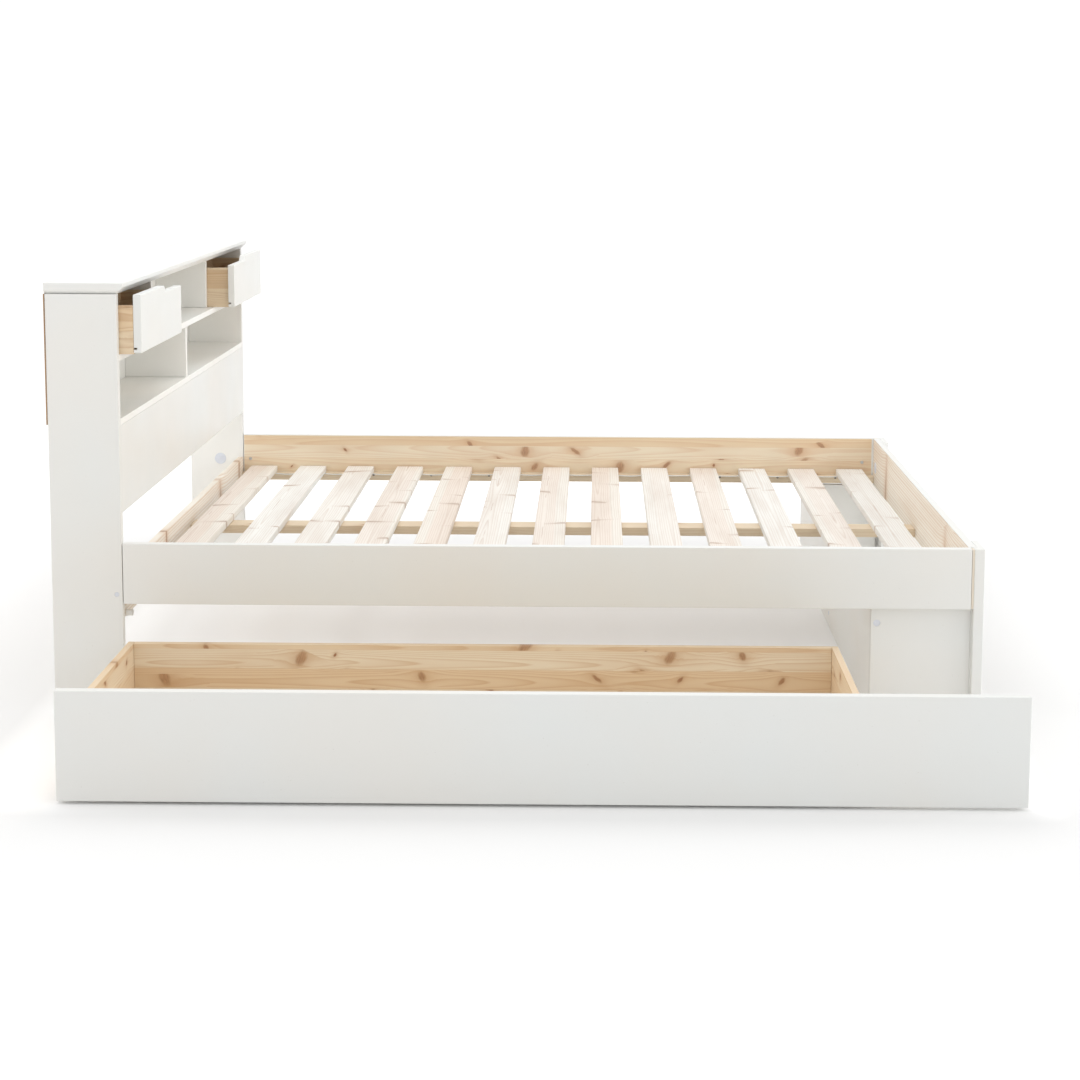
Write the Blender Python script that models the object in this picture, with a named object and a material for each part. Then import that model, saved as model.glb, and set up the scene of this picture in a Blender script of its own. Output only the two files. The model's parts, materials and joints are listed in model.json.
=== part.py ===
"""Trundle bed: a double bed with a bookcase headboard, two headboard drawers and a low storage
trundle that rolls out from under the near side.

Units are metres. +X runs from the headboard to the foot, +Z is up, and the near side, where the
trundle comes out, faces -Y. The origin is on the floor under the middle of the bed's box with the
trundle and both drawers part way open, as modelled.
"""

import math

import bmesh
import bpy

# Clearances
GAP = 0.0003                    # between pieces that touch
BOARD_PLAY = 0.002              # round a board that has to slide past another
JOINT_LINE = 0.0015             # visible line where a side rail meets the headboard

# Mattress well
MATTRESS_LENGTH = 1.900
MATTRESS_WIDTH = 1.380
LENGTH_PLAY = 0.0155
WIDTH_PLAY = 0.020

# Bed frame
RAIL_THICKNESS = 0.020
RAIL_HEIGHT = 0.139
RAIL_BOTTOM = 0.250
FOOTBOARD_THICKNESS = 0.018
POST_WEB_THICKNESS = 0.015
POST_LIP_LENGTH = 0.008         # how far the post's outer lip reaches forward of its web
POST_WIDTH = 0.088
POST_PLAY = 0.006               # open line between a side rail's end and the post's lip

# Slats and what carries them
SLAT_COUNT = 13
SLAT_WIDTH = 0.080
SLAT_THICKNESS = 0.019
SLAT_RISE = 0.0455              # slat tops above the side rails' lower edge
SLAT_END_PLAY = 0.004
FIRST_SLAT_INSET = 0.024        # headboard face to the first slat
LAST_SLAT_INSET = 0.034         # last slat to the footboard
LEDGER_WIDTH = 0.020
LEDGER_HEIGHT = 0.022
MID_BEAM_WIDTH = 0.060

# Panels under the foot end
FILLER_LENGTH = 0.226
FILLER_THICKNESS = 0.018
FILLER_END_PLAY = 0.002         # filler's end to the post's lip
GUIDE_THICKNESS = 0.018

# Bookcase headboard
HEADBOARD_HEIGHT = 0.980
HEADBOARD_DEPTH = 0.163
END_PANEL_THICKNESS = 0.018
SHELF_THICKNESS = 0.015
BACK_PANEL_THICKNESS = 0.003
BACK_PANEL_LAP = 0.003          # lower shelf's underside to the back panel's lower edge
TOP_THICKNESS = 0.0245
TOP_OVERHANG = 0.015
TOP_END_CHAMFER = 0.008         # the front chamfer runs the whole overhang, 45 degrees like the ends
UPPER_BAY_HEIGHT = 0.1375
LOWER_BAY_HEIGHT = 0.131
LOWER_DIVIDER_OFFSET = -0.036    # from the bed's middle, towards the near side
FRONT_PANEL_THICKNESS = 0.018
FRONT_PANEL_HEIGHT = 0.200
HEAD_RAIL_THICKNESS = 0.017
HEAD_RAIL_DROP = 0.069          # below the side rails' upper edge
HEAD_RAIL_HEIGHT = 0.105

# Headboard drawers
DRAWER_FRONT_WIDTH = 0.396
DRAWER_FRONT_THICKNESS = 0.018
DRAWER_FRONT_PLAY = 0.003       # over and under a drawer front
FINGER_NOTCH_WIDTH = 0.157
FINGER_NOTCH_DEPTH = 0.015
DRAWER_BOX_HEIGHT = 0.110
DRAWER_BACK_PLAY = 0.008        # behind the box when the drawer is shut
DRAWER_SIDE_THICKNESS = 0.012
DRAWER_BOTTOM_THICKNESS = 0.004
DRAWER_BOTTOM_LIFT = 0.010      # underside of the drawer bottom above the box's lower edge
DRAWER_GROOVE_DEPTH = 0.008
NEAR_DRAWER_OUT = 0.050
FAR_DRAWER_OUT = 0.060

# Trundle
TRUNDLE_OUT = 0.563
TRUNDLE_FRONT_BOTTOM = 0.006
TRUNDLE_FRONT_TOP_PLAY = 0.020  # under the side rail
TRUNDLE_FRONT_THICKNESS = 0.020
TRUNDLE_FRONT_HEAD_PLAY = 0.009
TRUNDLE_FRONT_FOOT_PLAY = 0.002
TRUNDLE_BOX_HEAD_PLAY = 0.017   # headboard face to the box's head end
TRUNDLE_BOX_FOOT_PLAY = 0.080   # box's foot end to the guide panel
TRUNDLE_BOX_DEPTH = 0.540       # front face to the back of the box
TRUNDLE_BOARD_THICKNESS = 0.015
TRUNDLE_WALL_HEIGHT = 0.134
TRUNDLE_BASE_THICKNESS = 0.009
TRUNDLE_BASE_RISE = 0.009       # base's underside above the walls' lower edge

# Fixed casters
WHEEL_RADIUS = 0.020
WHEEL_WIDTH = 0.018
WHEEL_ROUNDING = 0.002
WHEEL_BORE_RADIUS = 0.0046
WHEEL_SIDES = 32
AXLE_RADIUS = 0.004
AXLE_SIDES = 16
EAR_PLAY = 0.0015
EAR_THICKNESS = 0.002
EAR_BELOW_AXLE = 0.007
CASTER_PLATE_WIDTH = 0.050
CASTER_PLATE_THICKNESS = 0.002
CASTER_LENGTH = 0.042
CASTER_INSET = 0.070            # box corner to the middle of a caster
CASTER_HEADROOM = 0.005         # wheel's top to the trundle base

# Trundle stop
STOP_RADIUS = 0.008
STOP_LENGTH = 0.0151
STOP_SIDES = 24

# Edge rounding
PAINTED_EDGE = 0.0015
PINE_EDGE = 0.001
SLAT_EDGE = 0.003

# Places along the bed
WELL_LENGTH = MATTRESS_LENGTH + LENGTH_PLAY
WELL_WIDTH = MATTRESS_WIDTH + WIDTH_PLAY
BED_LENGTH = HEADBOARD_DEPTH + WELL_LENGTH + FOOTBOARD_THICKNESS + GAP + POST_WEB_THICKNESS
HEAD_BACK = -BED_LENGTH / 2
HEAD_FRONT = HEAD_BACK + HEADBOARD_DEPTH
FOOT_INNER = HEAD_FRONT + WELL_LENGTH
POST_INNER = FOOT_INNER + FOOTBOARD_THICKNESS + GAP
FOOT_OUTER = POST_INNER + POST_WEB_THICKNESS
POST_LIP = POST_INNER - POST_LIP_LENGTH
RAIL_END = POST_LIP - POST_PLAY

# Places across the bed
BED_WIDTH = WELL_WIDTH + 2 * RAIL_THICKNESS
FAR_SIDE = (BED_WIDTH + TRUNDLE_OUT) / 2
NEAR_SIDE = FAR_SIDE - BED_WIDTH
TRUNDLE_FACE = NEAR_SIDE - TRUNDLE_OUT
BED_MIDDLE = (NEAR_SIDE + FAR_SIDE) / 2

# Heights
RAIL_TOP = RAIL_BOTTOM + RAIL_HEIGHT
SLAT_TOP = RAIL_BOTTOM + SLAT_RISE
LEDGER_TOP = SLAT_TOP - SLAT_THICKNESS - GAP
LEDGER_BOTTOM = LEDGER_TOP - LEDGER_HEIGHT
TOP_BOTTOM = HEADBOARD_HEIGHT - TOP_THICKNESS
UPPER_SHELF_TOP = TOP_BOTTOM - UPPER_BAY_HEIGHT
LOWER_SHELF_TOP = UPPER_SHELF_TOP - SHELF_THICKNESS - LOWER_BAY_HEIGHT
LOWER_SHELF_BOTTOM = LOWER_SHELF_TOP - SHELF_THICKNESS
FRONT_PANEL_BOTTOM = LOWER_SHELF_BOTTOM - FRONT_PANEL_HEIGHT
BACK_PANEL_BOTTOM = LOWER_SHELF_BOTTOM + BACK_PANEL_LAP
HEAD_RAIL_TOP = RAIL_TOP - HEAD_RAIL_DROP
HEAD_RAIL_BOTTOM = HEAD_RAIL_TOP - HEAD_RAIL_HEIGHT
TRUNDLE_FRONT_TOP = RAIL_BOTTOM - TRUNDLE_FRONT_TOP_PLAY
TRUNDLE_BASE_BOTTOM = 2 * WHEEL_RADIUS + CASTER_HEADROOM
TRUNDLE_BOARD_BOTTOM = TRUNDLE_BASE_BOTTOM - TRUNDLE_BASE_RISE
TRUNDLE_RIM = TRUNDLE_BOARD_BOTTOM + TRUNDLE_WALL_HEIGHT

# Headboard bays
DIVIDER_RECESS = DRAWER_FRONT_THICKNESS + BOARD_PLAY
DRAWER_BAY_WIDTH = DRAWER_FRONT_WIDTH + BOARD_PLAY - SHELF_THICKNESS
DRAWER_BOX_LENGTH = HEADBOARD_DEPTH - BACK_PANEL_THICKNESS - DRAWER_FRONT_THICKNESS - DRAWER_BACK_PLAY


def clear_scene():
    """Remove every object, so that the bed starts from nothing."""
    for thing in list(bpy.data.objects):
        bpy.data.objects.remove(thing, do_unlink=True)


def make_material(name, colour, roughness, metallic=0.0):
    """A plain material with one colour."""
    material = bpy.data.materials.new(name)
    material.use_nodes = True
    shader = material.node_tree.nodes["Principled BSDF"]
    shader.inputs["Base Color"].default_value = (*colour, 1.0)
    shader.inputs["Roughness"].default_value = roughness
    shader.inputs["Metallic"].default_value = metallic
    material.diffuse_color = (*colour, 1.0)
    return material


def place(name, mesh, location, material, parent=None):
    """Put a mesh into the scene as one named sub-part, under its empty if it has one."""
    mesh.materials.append(material)
    piece = bpy.data.objects.new(name, mesh)
    bpy.context.scene.collection.objects.link(piece)
    piece.location = location
    if parent is not None:
        piece.parent = parent
        piece.location = [at - start for at, start in zip(location, parent.location)]
    return piece


def slide_origin(name, location):
    """An empty that carries the pieces of one moving body."""
    empty = bpy.data.objects.new(name, None)
    empty.location = location
    bpy.context.scene.collection.objects.link(empty)
    return empty


def round_edges(piece, width):
    """Round a board's sharp edges with one narrow facet."""
    bevel = piece.modifiers.new("edge_rounding", "BEVEL")
    bevel.width = width
    bevel.segments = 1
    bevel.limit_method = "ANGLE"
    bevel.angle_limit = math.radians(30)
    return piece


def board(name, along, across, height, material, rounding, parent=None):
    """A rectangular board between its low and high X, Y and Z."""
    low = [span[0] for span in (along, across, height)]
    high = [span[1] for span in (along, across, height)]
    size = [b - a for a, b in zip(low, high)]
    mesh = bpy.data.meshes.new(name)
    shape = bmesh.new()
    bmesh.ops.create_cube(shape, size=1.0)
    bmesh.ops.scale(shape, vec=size, verts=shape.verts)
    shape.to_mesh(mesh)
    shape.free()
    middle = [(a + b) / 2 for a, b in zip(low, high)]
    return round_edges(place(name, mesh, middle, material, parent), rounding)


def prism_mesh(name, outline, place_point, start, end):
    """A closed prism. place_point turns an outline point and a depth into a 3-D point."""
    shape = bmesh.new()
    first = [shape.verts.new(place_point(point, start)) for point in outline]
    face = shape.faces.new(first)
    made = bmesh.ops.extrude_face_region(shape, geom=[face])
    moved = [item for item in made["geom"] if isinstance(item, bmesh.types.BMVert)]
    step = [b - a for a, b in zip(place_point((0, 0), start), place_point((0, 0), end))]
    bmesh.ops.translate(shape, vec=step, verts=moved)
    bmesh.ops.recalc_face_normals(shape, faces=shape.faces)
    mesh = bpy.data.meshes.new(name)
    shape.to_mesh(mesh)
    shape.free()
    return mesh


def along_x(point, depth):
    """Outline in Y and Z, extruded along X."""
    return (depth, point[0], point[1])


def along_y(point, depth):
    """Outline in X and Z, extruded along Y."""
    return (point[0], depth, point[1])


def along_z(point, depth):
    """Outline in X and Y, extruded along Z."""
    return (point[0], point[1], depth)


def cylinder_mesh(name, radius, length, sides):
    """A cylinder along X, centred on its own origin."""
    ring = [(radius * math.cos(2 * math.pi * (step + 0.5) / sides),
             radius * math.sin(2 * math.pi * (step + 0.5) / sides)) for step in range(sides)]
    return prism_mesh(name, ring, along_x, -length / 2, length / 2)


def boolean(piece, operation, other):
    """Join another object to the piece, or cut it out of the piece."""
    other.hide_render = True
    other.display_type = "WIRE"
    change = piece.modifiers.new(operation.lower(), "BOOLEAN")
    change.operation = operation
    change.solver = "EXACT"
    change.object = other


def build_headboard_case(white, hardboard, pine, nylon):
    """End panels, top, shelves, dividers, front and back panels, head rail and trundle stop."""
    panel_back = HEAD_BACK + BACK_PANEL_THICKNESS + GAP
    inside_near = NEAR_SIDE + END_PANEL_THICKNESS + GAP
    inside_far = FAR_SIDE - END_PANEL_THICKNESS - GAP
    for side, outer, inner in (("near", NEAR_SIDE, NEAR_SIDE + END_PANEL_THICKNESS),
                               ("far", FAR_SIDE - END_PANEL_THICKNESS, FAR_SIDE)):
        board("headboard_end_" + side, (panel_back, HEAD_FRONT), (outer, inner),
              (0, TOP_BOTTOM - GAP), white, PAINTED_EDGE)

    build_headboard_top(white)
    across = (inside_near, inside_far)
    for name, top in (("upper_shelf", UPPER_SHELF_TOP), ("lower_shelf", LOWER_SHELF_TOP)):
        board(name, (panel_back, HEAD_FRONT), across, (top - SHELF_THICKNESS, top),
              white, PAINTED_EDGE)

    upper_row = (UPPER_SHELF_TOP + GAP, TOP_BOTTOM - GAP)
    near_divider = NEAR_SIDE + END_PANEL_THICKNESS + DRAWER_BAY_WIDTH
    far_divider = FAR_SIDE - END_PANEL_THICKNESS - DRAWER_BAY_WIDTH
    lower_middle = BED_MIDDLE + LOWER_DIVIDER_OFFSET
    recessed = (panel_back, HEAD_FRONT - DIVIDER_RECESS)
    board("upper_divider_near", recessed, (near_divider, near_divider + SHELF_THICKNESS),
          upper_row, white, PAINTED_EDGE)
    board("upper_divider_far", recessed, (far_divider - SHELF_THICKNESS, far_divider),
          upper_row, white, PAINTED_EDGE)
    board("lower_divider", (panel_back, HEAD_FRONT),
          (lower_middle - SHELF_THICKNESS / 2, lower_middle + SHELF_THICKNESS / 2),
          (LOWER_SHELF_TOP + GAP, UPPER_SHELF_TOP - SHELF_THICKNESS - GAP), white, PAINTED_EDGE)

    board("headboard_front_panel", (HEAD_FRONT - FRONT_PANEL_THICKNESS, HEAD_FRONT), across,
          (FRONT_PANEL_BOTTOM, LOWER_SHELF_BOTTOM - GAP), white, PAINTED_EDGE)
    board("headboard_back_panel", (HEAD_BACK, HEAD_BACK + BACK_PANEL_THICKNESS),
          (NEAR_SIDE, FAR_SIDE), (BACK_PANEL_BOTTOM, TOP_BOTTOM - GAP), hardboard, PINE_EDGE / 2)
    board("head_rail", (HEAD_FRONT - HEAD_RAIL_THICKNESS, HEAD_FRONT), across,
          (HEAD_RAIL_BOTTOM, HEAD_RAIL_TOP), pine, PINE_EDGE)

    peg = cylinder_mesh("trundle_stop", STOP_RADIUS, STOP_LENGTH, STOP_SIDES)
    peg_across = NEAR_SIDE + TRUNDLE_FRONT_THICKNESS + GAP + STOP_RADIUS
    peg_place = (HEAD_FRONT + GAP + STOP_LENGTH / 2, peg_across, HEAD_RAIL_BOTTOM + STOP_RADIUS)
    place("trundle_stop", peg, peg_place, nylon)


def build_headboard_top(white):
    """The top slab, chamfered underneath along its front edge and both ends."""
    front = HEAD_FRONT + TOP_OVERHANG
    rings = (
        (TOP_BOTTOM, HEAD_FRONT, NEAR_SIDE + TOP_END_CHAMFER, FAR_SIDE - TOP_END_CHAMFER),
        (TOP_BOTTOM + TOP_END_CHAMFER, HEAD_FRONT + TOP_END_CHAMFER, NEAR_SIDE, FAR_SIDE),
        (TOP_BOTTOM + TOP_OVERHANG, front, NEAR_SIDE, FAR_SIDE),
        (HEADBOARD_HEIGHT, front, NEAR_SIDE, FAR_SIDE),
    )
    shape = bmesh.new()
    loops = []
    for height, edge, near, far in rings:
        corners = ((HEAD_BACK, near), (edge, near), (edge, far), (HEAD_BACK, far))
        loops.append([shape.verts.new((x, y, height)) for x, y in corners])
    shape.faces.new(reversed(loops[0]))
    shape.faces.new(loops[-1])
    for lower, upper in zip(loops, loops[1:]):
        for side in range(4):
            after = (side + 1) % 4
            shape.faces.new((lower[side], lower[after], upper[after], upper[side]))
    mesh = bpy.data.meshes.new("headboard_top")
    shape.to_mesh(mesh)
    shape.free()
    round_edges(place("headboard_top", mesh, (0, 0, 0), white), PAINTED_EDGE)


def build_drawer(side, facing, bay_start, out, white, pine, hardboard):
    """One headboard drawer. facing is +1 where its finger notch is towards +Y, -1 towards -Y."""
    name = side + "_drawer"
    front_face = HEAD_FRONT + out
    front_back = front_face - DRAWER_FRONT_THICKNESS
    bottom = UPPER_SHELF_TOP + DRAWER_FRONT_PLAY
    top = TOP_BOTTOM - DRAWER_FRONT_PLAY
    parent = slide_origin(name + "_slide", (HEAD_FRONT, bay_start, UPPER_SHELF_TOP))

    def across(near, far):
        """Distances from the bay's outer wall, as a low and a high Y."""
        return tuple(sorted((bay_start + facing * near, bay_start + facing * far)))

    box_bottom = UPPER_SHELF_TOP + GAP
    groove_low = box_bottom + DRAWER_BOTTOM_LIFT
    groove_high = groove_low + DRAWER_BOTTOM_THICKNESS + 2 * GAP
    groove_back = front_back + DRAWER_GROOVE_DEPTH
    section = ((front_back, bottom), (front_face, bottom), (front_face, top), (front_back, top),
               (front_back, groove_high), (groove_back, groove_high),
               (groove_back, groove_low), (front_back, groove_low))
    low, high = across(BOARD_PLAY, BOARD_PLAY + DRAWER_FRONT_WIDTH)
    mesh = prism_mesh(name + "_front", section, along_y, low, high)
    front = place(name + "_front", mesh, (0, 0, 0), white)
    cut_notch(front, name, bay_start + facing * (BOARD_PLAY + DRAWER_FRONT_WIDTH), -facing,
              top, front_back, front_face)
    round_edges(front, PAINTED_EDGE / 2)
    front.location = [-at for at in parent.location]
    front.parent = parent

    box_back = front_back - DRAWER_BOX_LENGTH
    box_outer = BOARD_PLAY
    box_inner = DRAWER_BAY_WIDTH - BOARD_PLAY
    walls = (box_bottom, box_bottom + DRAWER_BOX_HEIGHT)
    side_run = (box_back, front_back - GAP)
    board(name + "_outer_side", side_run, across(box_outer, box_outer + DRAWER_SIDE_THICKNESS),
          walls, pine, PINE_EDGE, parent)
    board(name + "_inner_side", side_run, across(box_inner - DRAWER_SIDE_THICKNESS, box_inner),
          walls, pine, PINE_EDGE, parent)
    between = across(box_outer + DRAWER_SIDE_THICKNESS + GAP,
                     box_inner - DRAWER_SIDE_THICKNESS - GAP)
    board(name + "_back", (box_back, box_back + DRAWER_SIDE_THICKNESS), between,
          walls, pine, PINE_EDGE, parent)
    board(name + "_bottom", (box_back + DRAWER_SIDE_THICKNESS + GAP, groove_back - GAP), between,
          (groove_low + GAP, groove_high - GAP), hardboard, PINE_EDGE / 2, parent)


def cut_notch(front, name, end, direction, top, back, face):
    """Cut the finger notch, with a 45 degree step, from the inner end of a drawer front."""
    reach = FINGER_NOTCH_WIDTH
    over = FINGER_NOTCH_DEPTH
    outline = ((end - direction * over, top - FINGER_NOTCH_DEPTH),
               (end + direction * reach, top - FINGER_NOTCH_DEPTH),
               (end + direction * (reach + 2 * FINGER_NOTCH_DEPTH), top + FINGER_NOTCH_DEPTH),
               (end - direction * over, top + FINGER_NOTCH_DEPTH))
    mesh = prism_mesh(name + "_notch", outline, along_x, back - over, face + over)
    cutter = bpy.data.objects.new(name + "_notch", mesh)
    bpy.context.scene.collection.objects.link(cutter)
    boolean(front, "DIFFERENCE", cutter)


def build_frame(white, pine):
    """Side rails, footboard, foot posts, ledgers, middle beam and slats."""
    rail_height = (RAIL_BOTTOM, RAIL_TOP)
    inner_near = NEAR_SIDE + RAIL_THICKNESS
    inner_far = FAR_SIDE - RAIL_THICKNESS
    run = (HEAD_FRONT + JOINT_LINE, RAIL_END)
    board("side_rail_near", run, (NEAR_SIDE, inner_near), rail_height, white, PAINTED_EDGE)
    board("side_rail_far", run, (inner_far, FAR_SIDE), rail_height, white, PAINTED_EDGE)
    board("footboard_rail", (FOOT_INNER, FOOT_INNER + FOOTBOARD_THICKNESS),
          (inner_near + GAP, inner_far - GAP), rail_height, white, PAINTED_EDGE)
    build_foot_post("near", NEAR_SIDE, 1, white)
    build_foot_post("far", FAR_SIDE, -1, white)

    between = (HEAD_FRONT + GAP, FOOT_INNER - GAP)
    carrier = (LEDGER_BOTTOM, LEDGER_TOP)
    board("slat_ledger_near", between, (inner_near + GAP, inner_near + GAP + LEDGER_WIDTH),
          carrier, pine, PINE_EDGE)
    board("slat_ledger_far", between, (inner_far - GAP - LEDGER_WIDTH, inner_far - GAP),
          carrier, pine, PINE_EDGE)
    board("mid_beam", between,
          (BED_MIDDLE - MID_BEAM_WIDTH / 2, BED_MIDDLE + MID_BEAM_WIDTH / 2),
          carrier, pine, PINE_EDGE)

    first = HEAD_FRONT + FIRST_SLAT_INSET + SLAT_WIDTH / 2
    last = FOOT_INNER - LAST_SLAT_INSET - SLAT_WIDTH / 2
    pitch = (last - first) / (SLAT_COUNT - 1)
    for number in range(SLAT_COUNT):
        middle = first + number * pitch
        board("slat_%02d" % (number + 1), (middle - SLAT_WIDTH / 2, middle + SLAT_WIDTH / 2),
              (inner_near + SLAT_END_PLAY, inner_far - SLAT_END_PLAY),
              (SLAT_TOP - SLAT_THICKNESS, SLAT_TOP), pine, SLAT_EDGE)


def build_foot_post(side, outer, inward, white):
    """A foot post: a web behind the footboard with a lip that ends the side rail."""
    lip = outer + inward * RAIL_THICKNESS
    inner = outer + inward * POST_WIDTH
    outline = ((POST_LIP, outer), (FOOT_OUTER, outer), (FOOT_OUTER, inner),
               (POST_INNER, inner), (POST_INNER, lip), (POST_LIP, lip))
    mesh = prism_mesh("foot_post_" + side, outline, along_z, 0, RAIL_TOP)
    round_edges(place("foot_post_" + side, mesh, (0, 0, 0), white), PAINTED_EDGE)


def build_foot_panels(white):
    """The two filler panels and the guide panel between them, under the foot end."""
    filler_end = POST_LIP - FILLER_END_PLAY
    filler_start = filler_end - FILLER_LENGTH
    filler_top = RAIL_BOTTOM - GAP
    near = NEAR_SIDE + RAIL_THICKNESS + GAP
    far = FAR_SIDE - RAIL_THICKNESS - GAP
    board("filler_panel_near", (filler_start, filler_end), (near, near + FILLER_THICKNESS),
          (0, filler_top), white, PAINTED_EDGE)
    board("filler_panel_far", (filler_start, filler_end), (far - FILLER_THICKNESS, far),
          (0, filler_top), white, PAINTED_EDGE)
    board("guide_panel", (filler_start, filler_start + GUIDE_THICKNESS),
          (near + FILLER_THICKNESS + GAP, far - FILLER_THICKNESS - GAP),
          (0, LEDGER_BOTTOM - GAP), white, PAINTED_EDGE)
    return filler_start


def build_trundle(guide_face, white, pine, ply, metal, nylon):
    """The trundle's front, box, base and four fixed casters."""
    parent = slide_origin("trundle_slide", (0, TRUNDLE_FACE, 0))
    front_back = TRUNDLE_FACE + TRUNDLE_FRONT_THICKNESS
    board("trundle_front",
          (HEAD_FRONT + TRUNDLE_FRONT_HEAD_PLAY, POST_LIP - TRUNDLE_FRONT_FOOT_PLAY),
          (TRUNDLE_FACE, front_back), (TRUNDLE_FRONT_BOTTOM, TRUNDLE_FRONT_TOP),
          white, PAINTED_EDGE, parent)

    head = HEAD_FRONT + TRUNDLE_BOX_HEAD_PLAY
    foot = guide_face - TRUNDLE_BOX_FOOT_PLAY
    back = TRUNDLE_FACE + TRUNDLE_BOX_DEPTH
    wall = TRUNDLE_BOARD_THICKNESS
    depth = (front_back + GAP, back)
    height = (TRUNDLE_BOARD_BOTTOM, TRUNDLE_RIM)
    board("trundle_end_head", (head, head + wall), depth, height, pine, PINE_EDGE, parent)
    board("trundle_end_foot", (foot - wall, foot), depth, height, pine, PINE_EDGE, parent)
    inside = (head + wall + GAP, foot - wall - GAP)
    board("trundle_back", inside, (back - wall, back), height, pine, PINE_EDGE, parent)
    board("trundle_base", inside, (front_back + GAP, back - wall - GAP),
          (TRUNDLE_BASE_BOTTOM, TRUNDLE_BASE_BOTTOM + TRUNDLE_BASE_THICKNESS),
          ply, PINE_EDGE, parent)

    for end, along in (("head", head + CASTER_INSET), ("foot", foot - CASTER_INSET)):
        for row, across in (("front", front_back + CASTER_INSET), ("back", back - CASTER_INSET)):
            build_caster(row + "_" + end, along, across, parent, metal, nylon)


def build_caster(name, along, across, parent, metal, nylon):
    """A fixed caster: a flanged bracket with its axle, and a wheel that turns about X."""
    ear_inner = WHEEL_WIDTH / 2 + EAR_PLAY
    ear_outer = ear_inner + EAR_THICKNESS
    plate_top = TRUNDLE_BASE_BOTTOM - GAP - WHEEL_RADIUS
    plate_bottom = plate_top - CASTER_PLATE_THICKNESS
    flange = CASTER_PLATE_WIDTH / 2
    section = ((-flange, plate_top), (-flange, plate_bottom), (-ear_outer, plate_bottom),
               (-ear_outer, -EAR_BELOW_AXLE), (-ear_inner, -EAR_BELOW_AXLE),
               (-ear_inner, plate_bottom), (ear_inner, plate_bottom),
               (ear_inner, -EAR_BELOW_AXLE), (ear_outer, -EAR_BELOW_AXLE),
               (ear_outer, plate_bottom), (flange, plate_bottom), (flange, plate_top))
    axle_place = (along, across, WHEEL_RADIUS)
    mesh = prism_mesh("caster_bracket_" + name, section, along_y,
                      -CASTER_LENGTH / 2, CASTER_LENGTH / 2)
    bracket = place("caster_bracket_" + name, mesh, axle_place, metal, parent)
    axle_mesh = cylinder_mesh("axle_" + name, AXLE_RADIUS, 2 * ear_outer - EAR_THICKNESS, AXLE_SIDES)
    axle = place("axle_" + name, axle_mesh, axle_place, metal, parent)
    boolean(bracket, "UNION", axle)

    wheel = place("caster_wheel_" + name, wheel_mesh("caster_wheel_" + name), axle_place,
                  nylon, parent)
    wheel.data.shade_smooth()
    wheel.data.set_sharp_from_angle(angle=math.radians(40))


def wheel_mesh(name):
    """A wheel turned about X, with a bore for its axle and rounded tread edges."""
    half = WHEEL_WIDTH / 2
    shoulder = WHEEL_RADIUS - WHEEL_ROUNDING
    profile = ((-half, WHEEL_BORE_RADIUS), (-half, shoulder), (-half + WHEEL_ROUNDING, WHEEL_RADIUS),
               (half - WHEEL_ROUNDING, WHEEL_RADIUS), (half, shoulder), (half, WHEEL_BORE_RADIUS))
    shape = bmesh.new()
    rings = []
    for step in range(WHEEL_SIDES):
        turn = 2 * math.pi * (step + 0.5) / WHEEL_SIDES
        rings.append([shape.verts.new((x, radius * math.sin(turn), -radius * math.cos(turn)))
                      for x, radius in profile])
    for step in range(WHEEL_SIDES):
        ring = rings[step]
        after = rings[(step + 1) % WHEEL_SIDES]
        for point in range(len(profile)):
            following = (point + 1) % len(profile)
            shape.faces.new((ring[point], ring[following], after[following], after[point]))
    bmesh.ops.recalc_face_normals(shape, faces=shape.faces)
    mesh = bpy.data.meshes.new(name)
    shape.to_mesh(mesh)
    shape.free()
    return mesh


def build_bed():
    """Build the whole trundle bed."""
    clear_scene()
    white = make_material("white_paint", (0.77, 0.77, 0.74), 0.45)
    pine = make_material("pine", (0.80, 0.62, 0.40), 0.55)
    hardboard = make_material("hardboard", (0.35, 0.20, 0.10), 0.7)
    ply = make_material("plywood", (0.72, 0.55, 0.36), 0.6)
    metal = make_material("zinc_steel", (0.62, 0.62, 0.62), 0.35, 1.0)
    nylon = make_material("white_nylon", (0.80, 0.82, 0.86), 0.4)

    build_headboard_case(white, hardboard, pine, nylon)
    build_drawer("near", 1, NEAR_SIDE + END_PANEL_THICKNESS, NEAR_DRAWER_OUT,
                 white, pine, hardboard)
    build_drawer("far", -1, FAR_SIDE - END_PANEL_THICKNESS, FAR_DRAWER_OUT,
                 white, pine, hardboard)
    build_frame(white, pine)
    guide_face = build_foot_panels(white)
    build_trundle(guide_face, white, pine, ply, metal, nylon)


build_bed()
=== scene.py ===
"""Looks of the trundle bed: painted and pine boards with real grain, its fittings, a white studio.

Units are metres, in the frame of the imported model. Every board is rebuilt with rounded edges over
the box of its CAD node, and carries a "grain" attribute, the place in the plank that it was sawn
from, which the procedural wood reads.
"""

import functools
import itertools
import json
import math
import random

import bmesh
import bpy
from mathutils import Matrix, Vector


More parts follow.
